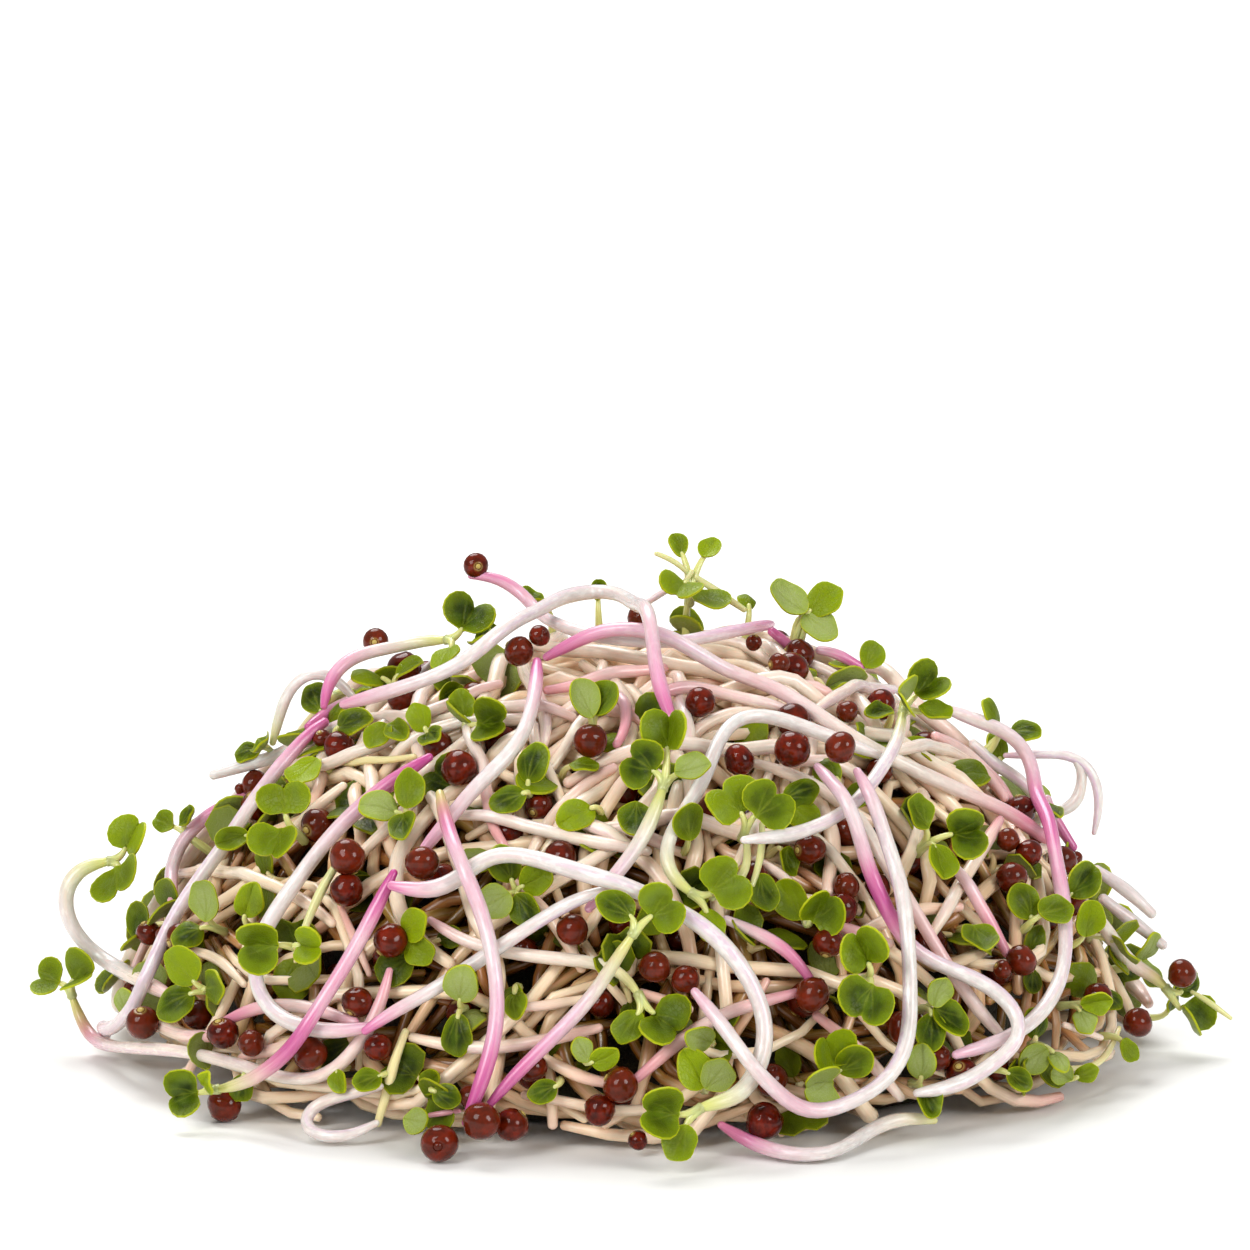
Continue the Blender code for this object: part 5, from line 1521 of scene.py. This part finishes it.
class Finish:
    """A material whose colour, shine and relief are worked out by nodes."""

    def __init__(self, name):
        self.material = bpy.data.materials.new(name)
        self.material.use_nodes = True
        self.tree = self.material.node_tree
        self.shader = self.tree.nodes["Principled BSDF"]

    def node(self, kind, *values, output=0, **settings):
        """A new node with its settings and the first of its inputs. Gives one output."""
        made = self.tree.nodes.new("ShaderNode" + kind)
        for key, value in settings.items():
            setattr(made, key, value)
        for key, value in enumerate(values):
            self.wire(value, made.inputs[key])
        return made.outputs[output]

    def wire(self, value, socket):
        if isinstance(value, bpy.types.NodeSocket):
            self.tree.links.new(value, socket)
        elif value is not None:
            socket.default_value = value

    def mark(self, name, output="Fac"):
        return self.node("Attribute", attribute_name=name, output=output)

    def sums(self, operation, first, second=None, clamp=False):
        return self.node("Math", first, second, operation=operation, use_clamp=clamp)

    def times(self, first, second, clamp=False):
        return self.sums("MULTIPLY", first, second, clamp)

    def span(self, value, low, high, to_low=0.0, to_high=1.0, smooth=True):
        """The value drawn from one range to another, and held at its ends."""
        kind = "SMOOTHSTEP" if smooth else "LINEAR"
        return self.node("MapRange", value, low, high, to_low, to_high, interpolation_type=kind)

    def mix(self, share, first, second, blend="MIX"):
        colours = [(*c, 1) if isinstance(c, tuple) else c for c in (first, second)]
        unused = [None] * 5
        settings = {"data_type": "RGBA", "blend_type": blend}
        return self.node("Mix", share, *unused, *colours, output=2, **settings)

    def noise(self, vector, scale, detail=2.0, roughness=0.5):
        return self.node("TexNoise", vector, None, scale, detail, roughness)

    def net(self, vector, scale):
        """How far each spot is from the nearest thread of a net."""
        return self.node("TexVoronoi", vector, None, scale, feature="DISTANCE_TO_EDGE")

    def stretch(self, vector, along):
        """The same coordinates, drawn out along the third axis."""
        return self.node("VectorMath", vector, (1.0, 1.0, along), operation="MULTIPLY")

    def part(self, vector, axis):
        return self.node("SeparateXYZ", vector, output=axis)

    def surface(self, colour, roughness, settings):
        """Wires the shader's colour and roughness, and sets what is the same all over."""
        self.wire(colour, self.shader.inputs["Base Color"])
        self.wire(roughness, self.shader.inputs["Roughness"])
        for name, value in settings.items():
            self.shader.inputs[name].default_value = value

    def relief(self, height, distance, strength):
        made = self.tree.nodes.new("ShaderNodeBump")
        made.inputs["Distance"].default_value = distance
        made.inputs["Strength"].default_value = strength
        self.wire(height, made.inputs["Height"])
        self.wire(made.outputs["Normal"], self.shader.inputs["Normal"])


def white_stem_finish():
    """Moist flesh: streaks, pale fleck marks partly painted as glints, pink or green ends, painted warm
    shade.
    """
    made = Finish("moist_white_stem")
    grain = made.mark("grain", "Vector")
    streaks = made.noise(grain, 2.6, 3.0, 0.6)
    blotches = made.noise(grain, 1.1, 1.0)
    patches = made.noise(grain, 0.55, 1.0)
    # Pale fleck marks along the stems, partly painted wet glints, and dull spots between them
    flecks_and_glints = made.noise(made.stretch(grain, 9.0), 1.5, 2.0, 0.55)
    base = made.mix(made.span(streaks, 0.42, 0.70), WHITE_FLESH, BLUSH_FLESH)
    base = made.mix(made.span(patches, 0.50, 0.68, 0, 0.85), base, LILAC_FLESH)
    base = made.mix(made.span(blotches, 0.5, 0.85, 0, 0.5), base, CREAM_FLESH)
    base = made.mix(made.span(flecks_and_glints, 0.50, 0.66, 0, 0.60), base, FLECK_AND_GLINT_FLESH)
    base = made.mix(made.span(flecks_and_glints, 0.30, 0.46, 0.55, 0), base, DULL_FLESH)
    uneven = made.span(streaks, 0.25, 0.75, 0.75, 1.2, False)
    uneven = made.times(made.mark("pink"), uneven, clamp=True)
    base = made.mix(made.span(uneven, 0.02, 0.65, smooth=False), base, PINK_FLESH)
    base = made.mix(made.span(uneven, 0.5, 1.0, smooth=False), base, MAGENTA_FLESH)
    base = made.mix(made.span(made.mark("green"), 0.0, 1.0, 0, 0.95, False), base, STALK_GREEN)
    # Painted shade: warmer in light shade, then darker brown or olive, then darkest furthest in
    painted_shade = made.mark("painted_shade")
    shade = made.mix(made.span(patches, 0.44, 0.56), PAINTED_SHADE_FLESH, PAINTED_SHADE_OLIVE)
    base = made.mix(made.span(painted_shade, 0.0, 0.5, 0.0, 0.68, False), base, PAINTED_SHADE_WARM)
    base = made.mix(made.span(painted_shade, 0.54, 0.84, smooth=False), base, shade, "MULTIPLY")
    base = made.mix(made.span(painted_shade, 0.78, 0.97, smooth=False), base, PAINTED_SHADE_DARKEST, "MULTIPLY")
    made.surface(base, made.span(streaks, 0.3, 0.8, 0.22, 0.36, False), {
        "Subsurface Weight": 0.35, "Subsurface Radius": (1.0, 0.55, 0.45),
        "Subsurface Scale": 0.0009, "Specular IOR Level": 0.5, "Coat Weight": 0.25,
        "Coat Roughness": 0.18,
    })
    made.relief(streaks, 0.00006, 0.5)
    return made.material


def leaf_finish():
    """Dark green tops with veins, a pale rim and painted sheen patches, pale undersides, and painted
    shade.
    """
    made = Finish("radish_seed_leaf")
    place = made.mark("place", "Vector")
    out = made.mark("rim")
    tone = made.mark("tone")
    along, across = made.part(place, 0), made.sums("ABSOLUTE", made.part(place, 1))
    mottle = made.noise(place, 0.7, 3.0)
    # Patches of painted sheen on the tops
    sheen_patches = made.noise(place, 0.45, 1.0)
    top = made.mix(made.span(mottle, 0.38, 0.66), LEAF_DARK, LEAF_MID)
    top = made.mix(made.times(made.times(tone, tone), 0.95), top, LEAF_BRIGHT)
    top = made.mix(made.span(sheen_patches, 0.52, 0.72, 0.0, 0.45), top, LEAF_PAINTED_SHEEN)
    branch = made.sums("ABSOLUTE", made.sums("SUBTRACT", across, made.times(along, 0.42)))
    middle_vein = made.span(across, 0.05, 0.30, 1.0, 0.0)
    middle_vein = made.times(middle_vein, made.span(along, 0.4, 3.4, 1.0, 0.15, False))
    side_vein = made.span(branch, 0.03, 0.20, 1.0, 0.0)
    side_vein = made.times(side_vein, made.span(along, 0.6, 3.6, 0.6, 0.0, False))
    veins = made.sums("MAXIMUM", middle_vein, side_vein)
    net = made.span(made.net(place, 2.4), 0.0, 0.10, 1.0, 0.0)
    top = made.mix(made.times(veins, 0.55), top, LEAF_VEIN)
    back = made.mix(made.times(net, 0.35), LEAF_BACK, LEAF_BACK_NET)
    back = made.mix(made.times(veins, 0.6), back, LEAF_VEIN)
    face = made.mix(made.mark("under"), top, back)
    face = made.mix(made.span(out, 0.45, 1.0, 0.0, 0.42), face, LEAF_BRIGHT)
    face = made.mix(made.times(made.span(out, 0.945, 1.0), 0.8), face, LEAF_RIM)
    # Painted shade, darker further into the heap
    face = made.mix(made.mark("painted_shade"), face, PAINTED_SHADE_LEAF, "MULTIPLY")
    made.surface(face, made.span(mottle, 0.3, 0.7, 0.28, 0.42, False), {
        "Subsurface Weight": 0.12, "Subsurface Radius": (0.5, 0.9, 0.2),
        "Subsurface Scale": 0.0006, "Specular IOR Level": 0.11,
    })
    relief = made.sums("ADD", made.times(net, -0.3), made.times(veins, -0.6))
    made.relief(made.sums("ADD", relief, made.times(mottle, 0.5)), 0.00012, 0.7)
    return made.material


def seed_finish():
    """Dark red, mottled and glossy, with a pale eye, and painted shade further into the heap."""
    made = Finish("dark_red_seed_coat")
    place = made.mark("place", "Vector")
    mottle = made.noise(place, 1.6, 4.0, 0.6)
    pits = made.noise(place, 5.0, 2.0)
    base = made.mix(made.span(mottle, 0.3, 0.75), SEED_DARK, SEED_RED)
    base = made.mix(made.times(made.mark("tone"), 0.5), base, SEED_BROWN)
    base = made.mix(made.span(made.mark("nib"), 0.2, 1.0), base, SEED_NIB)
    # Painted shade, darker further into the heap
    base = made.mix(made.mark("painted_shade"), base, PAINTED_SHADE_SEED, "MULTIPLY")
    made.surface(base, made.span(pits, 0.3, 0.7, 0.07, 0.14, False), {
        "Specular IOR Level": 0.21, "Coat Weight": 0.05, "Coat Roughness": 0.06,
    })
    made.relief(mottle, 0.00005, 0.3)
    return made.material


def painted_shade_core_finish():
    """Dim leaf litter painted near-black for the shade inside: olive and brown, rough and lumpy."""
    made = Finish("painted_shade_leaf_litter")
    where = made.node("TexCoord", output="Object")
    mottle = made.noise(where, 380.0, 4.0, 0.65)
    patches = made.noise(where, 150.0, 2.0)
    # Near-black colours that paint the shade inside the heap
    base = made.mix(made.span(mottle, 0.35, 0.65), CORE_SHADE_DARK, CORE_SHADE_OLIVE)
    base = made.mix(made.span(patches, 0.52, 0.7), base, CORE_SHADE_BROWN)
    made.surface(base, made.span(mottle, 0.3, 0.7, 0.6, 0.85, False), {})
    made.relief(mottle, 0.0012, 1.0)
    return made.material


def pink_along(route, spots, count):
    """How pink a stem is at each sample, from spots on its route."""
    pink = np.zeros(count)
    index = np.linspace(0, len(route) - 1, count)
    for x, height, reach, strength in spots:
        nearest = np.argmin(np.hypot(route[:, 0] - x, route[:, 1] - height))
        far = np.abs(index - nearest) * SAMPLE / reach
        pink = np.maximum(pink, strength * np.exp(-(far**1.6)))
    return pink


def fade_from_start(count, spacing, reach):
    """A mark that falls from 1 at a line's first sample."""
    return np.exp(-((np.arange(count) * spacing / reach) ** 1.5))


def pink_at_ends(count, spacing, start, end, reach):
    """How pink a stem is, from its ends."""
    fade = fade_from_start(count, spacing, reach)
    return np.maximum(start * fade, end * fade[::-1])


def green_at_end(count, reach):
    """How green a stem is, towards its leaves."""
    return fade_from_start(count, SAMPLE, reach)[::-1]


def painted_shade_of(points):
    """How far into the painted shade points lie, from 0 on the heap's skin to 1 inside it."""
    shade = np.clip((heap_level(points) - SHADE_START) / (SHADE_FULL - SHADE_START), 0, 1)
    # The painted shade is held lighter near the floor and near the top
    height = points[..., 2]
    near_top = np.clip((height - 22) / 14.0, 0, 1)
    return shade * np.clip(0.45 + height / 14.0, 0.45, 1) * (1 - 0.42 * near_top)


def narrow_ends(count):
    """How a stem's girth falls off over its last few samples."""
    return np.clip(0.76 + from_ends(count) * 0.12, 0, 1)


def build_main(sprouts, blanks, finishes):
    """The main sprouts, each in the place of its solids."""
    draw = random.Random(MAIN_LOOKS_DRAW)
    for name, (line, radii, joint, parts, seeds) in sprouts:
        count = len(line)
        root = line[-1] + joint
        start, ahead = root - outward(root) * 3.0, outward(root)
        if count > 1:
            batch = Batch()
            start, ahead = line[-1], unit(joint)
            pink, painted_shade = pink_at_ends(count, SAMPLE, 0.9, 0.0, 9), 0.0
            if name in MAIN_ROUTES:
                spots = PINK_OF_SPROUTS.get(name, [])
                pink = pink_along(smooth_route(MAIN_ROUTES[name]), spots, count)
                # Main stems get painted shade where they dip into the heap
                painted_shade = painted_shade_of(line)
            green = green_at_end(count, 4.0) if parts else 0.0
            green = green_at_end(count, 2.5) * 0.8 if name in GREEN_TIPPED else green
            green = ALL_GREEN.get(name, green)
            swell = 1 + 0.04 * np.sin(np.arange(count) * 0.35 + draw.uniform(0, 6))
            swell = swell * GIRTH.get(name, 1.0) * MAIN_GIRTH * narrow_ends(count)
            bend_stem(batch, blanks["stem"], line, radii * swell, pink, green, painted_shade, draw)
            batch.finish(name + "_shoot", finishes["stem"], "stem_white", name + "_stem")
        if parts:
            blades, stalks = Batch(), Batch()
            for number, (base, direction, side, normal, *_rim, width) in enumerate(parts):
                angle, further = TURNED_BLADES.get((name, number), (0, 0))
                direction, side = turned_by(direction, side, radians(angle))
                base = root + direction * (norm(base) + further)
                stalk = (start, ahead, base, direction, MAIN_STALK)
                set_stalk(stalks, blanks["stalk"], *stalk, 0.0, draw)
                under = int((name, number) in PALE_BLADES)
                two_lobes = width >= WIDTH_OF_TWO_LOBES
                width = REAL_WIDTHS.get((name, number), width)
                way = (direction, side, normal)
                set_blade(blades, blanks["blade"], base, way, width, two_lobes, under, 0.0, draw)
            blades.finish(name + "_seed_leaves", finishes["leaf"], "leaf_green", name + "_leaves")
            stalks.finish(name + "_leaf_stalks", finishes["stem"], "leaf_green")
        if seeds:
            batch = Batch()
            for end, offset, radius in seeds:
                set_seed(batch, blanks["seed"], line[end] + offset, radius, 0.0, draw)
            batch.finish(name + "_seed_coats", finishes["seed"], "seed_red", name + "_seeds")


def eighth_of(point):
    """Which eighth of the heap a point lies in."""
    return int(atan2(point[1], point[0]) % (2 * pi) // (pi / 4))


def build_between(strands, joints, inner, long_back, blanks, finishes):
    """All the finer sprouts, gathered by the eighth of the heap that they lie in."""
    draw = random.Random(BETWEEN_LOOKS_DRAW)
    stems, leaves, seeds = ([Batch() for _ in EIGHTHS] for _ in range(3))

    def set_stem(blank, line, radii, spacing, start, end, reach, green, painted_shade):
        batch = stems[eighth_of(line[len(line) // 2])]
        pink = pink_at_ends(len(line), spacing, start, end, reach)
        bend_stem(batch, blanks[blank], line, radii, pink, green, painted_shade, draw)

    for strand in strands:
        line = strand.points
        # Painted shade for each finer piece, which also picks its plainer blank
        painted_shade = painted_shade_of(line)
        if strand.kind == "stem":
            name, (start, end) = strand.info
            spacing = SAMPLE if name != "fill" else FILL_SAMPLE
            plain = name == "fill" and painted_shade.mean() >= PLAIN_STEMS_FROM
            blank = "stem_plain" if plain else "stem_middle"
            green = ALL_GREEN.get(name, 0.0)
            set_stem(blank, line, strand.radii, spacing, start, end, 7.0, green, painted_shade)
        elif strand.kind == "seed":
            blank = "seed" if painted_shade[0] < PLAIN_SEEDS_FROM else "seed_plain"
            radius = strand.radii[0] + SEED_BITE
            set_seed(seeds[eighth_of(line[0])], blanks[blank], line[0], radius, painted_shade[0], draw)
    for line, radii, start, end in long_back:
        green = green_at_end(len(line), 6.0)
        # Stems over the back get a light, warm painted shade
        set_stem("stem", line, radii, SAMPLE, start, end, 8.0, green, 0.22)
    for line, radii in inner:
        set_stem("stem_middle", line, radii, SAMPLE, 0.3, 0.0, 6.0, 0.0, painted_shade_of(line))
    for anchor, spot, facing, blades in joints:
        line = anchor.points if isinstance(anchor, Strand) else anchor
        if line.ndim == 2:
            start, ahead = line[-1], way_out(line)
        else:
            off_skin = max(float(heap_level(spot[None])[0]), 0)
            start, ahead = spot - (facing * 0.4 + outward(spot) * 0.6) * (1.6 + off_skin), facing
            start[2] = max(start[2], 0.6)
        for blade in blades:
            base = blade.base + (blade.points[0] - blade.start)
            direction, side, normal, width, under = blade.info
            painted_shade = float(painted_shade_of(base[None])[0])
            eighth = eighth_of(base)
            blank = blanks["blade" if painted_shade < PLAIN_BLADES_FROM else "blade_plain"]
            two_lobes = width >= WIDTH_OF_TWO_LOBES_BETWEEN
            way = (direction, side, normal)
            set_blade(leaves[eighth], blank, base, way, width, two_lobes, under, painted_shade, draw)
            stalk = (start, ahead, base, direction, BETWEEN_STALK)
            set_stalk(stems[eighth], blanks["stalk"], *stalk, painted_shade, draw)
    for k, name in enumerate(EIGHTHS):
        stems[k].finish(f"{name}_fine_shoots", finishes["stem"], "stem_white")
        leaves[k].finish(f"{name}_fine_leaves", finishes["leaf"], "leaf_green")
        seeds[k].finish(f"{name}_fine_seed_coats", finishes["seed"], "seed_red")


def build_core(finish):
    """The dark middle of the heap, low and lumpy and painted in shade, which the finer sprouts hide."""
    bpy.ops.mesh.primitive_uv_sphere_add(segments=64, ring_count=32, radius=1, location=(0, 0, 0))
    core = bpy.context.active_object
    core.name = "shaded_middle"
    open_edit()
    bpy.ops.mesh.select_all(action="SELECT")
    bpy.ops.mesh.bisect(plane_co=(0, 0, 0.02), plane_no=(0, 0, 1), clear_inner=True, use_fill=True)
    close_edit()
    mesh = core.data
    points = np.array([v.co for v in mesh.vertices])
    directions = unit(points)
    turn = np.arctan2(points[:, 1], points[:, 0])
    lumps = 0.9 * np.sin(7 * turn + 3 * points[:, 2]) * np.cos(6 * points[:, 2] + 2 * turn)
    lumps = lumps + 0.6 * np.sin(13 * turn - 9 * points[:, 2])
    low = points[:, 2] < 0.021
    level = CORE_LEVEL + lumps - CORE_TUCK * np.clip(1 - points[:, 2] / 0.3, 0, 1)
    directions[low, 2] = 0
    placed = heap_point(unit(directions), level)
    middle = np.hypot(points[:, 0], points[:, 1]) < 0.9
    placed[low & middle] *= 0
    placed[low, 2] = CORE_FOOT
    for vertex, point in zip(mesh.vertices, placed):
        vertex.co = Vector(point) * MM
    mesh.update()
    mesh.materials.clear()
    mesh.materials.append(finish)
    mesh.shade_smooth()
    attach(core, "root")
    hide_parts("inner_tangle")


def build_stage():
    """A pale table, soft lights and the camera."""
    scene = bpy.context.scene
    bpy.ops.mesh.primitive_plane_add(size=4, location=(0, 0, 0))
    table = bpy.context.active_object
    table.name = "pale_table"
    pale = Finish("pale_table_top")
    pale.surface((*TABLE_WHITE, 1), 0.7, {})
    table.data.materials.append(pale.material)
    scene.view_settings.view_transform = "Standard"
    scene.world = bpy.data.worlds.new("soft_sky")
    scene.world.use_nodes = True
    sky = scene.world.node_tree.nodes["Background"]
    sky.inputs[0].default_value = (1.0, 1.0, 1.0, 1)
    sky.inputs[1].default_value = SKY_LIGHT
    for name, (place, size, power) in LAMPS.items():
        light = bpy.data.lights.new(name, "AREA")
        light.shape = "DISK"
        light.size = size
        light.energy = power
        lamp = bpy.data.objects.new(name, light)
        lamp.location = place
        lamp.rotation_euler = (LAMPS_AIM - Vector(place)).to_track_quat("-Z", "Y").to_euler()
        scene.collection.objects.link(lamp)
    lens = bpy.data.cameras.new("view_from_in_front")
    lens.sensor_width = SENSOR_WIDTH
    lens.lens = SENSOR_WIDTH * EYE_DISTANCE / VIEW_WIDTH
    lens.clip_start = 0.01
    camera = bpy.data.objects.new("view_from_in_front", lens)
    scene.collection.objects.link(camera)
    target = Vector(VIEW_RIGHT * VIEW_MIDDLE[0] + VIEW_UP * VIEW_MIDDLE[1]) * MM
    eye = Vector(EYE) * MM
    ahead = (target - eye).normalized()
    right = ahead.cross(Vector(VIEW_UP)).normalized()
    placed = Matrix((right, right.cross(ahead), -ahead)).transposed().to_4x4()
    placed.translation = eye
    camera.matrix_world = placed
    scene.camera = camera


def build():
    """Lays the heap, eases it apart and builds it, on its table."""
    blanks = {name: stem_blank(*sizes) for name, sizes in STEM_BLANKS.items()}
    blanks.update({name: leaf_blank(*sizes) for name, sizes in LEAF_BLANKS.items()})
    blanks.update({name: seed_blank(*sizes) for name, sizes in SEED_BLANKS.items()})
    finishes = {"stem": white_stem_finish(), "leaf": leaf_finish(), "seed": seed_finish()}
    pile = Pile()
    inner = inner_lines(pile)
    sprouts = main_sprouts(pile)
    strands, joints = traced_strands(sprouts)
    long_back = back_strands(pile, strands, joints)
    fill_strands(strands, joints)
    ease_apart(strands, pile.points, pile.radii)
    join_at_start(strands, JOINED_STEM)
    hang_seed_coats(strands)
    build_core(painted_shade_core_finish())
    build_main(sprouts, blanks, finishes)
    build_between(strands, joints, inner, long_back, blanks, finishes)
    build_stage()


build()
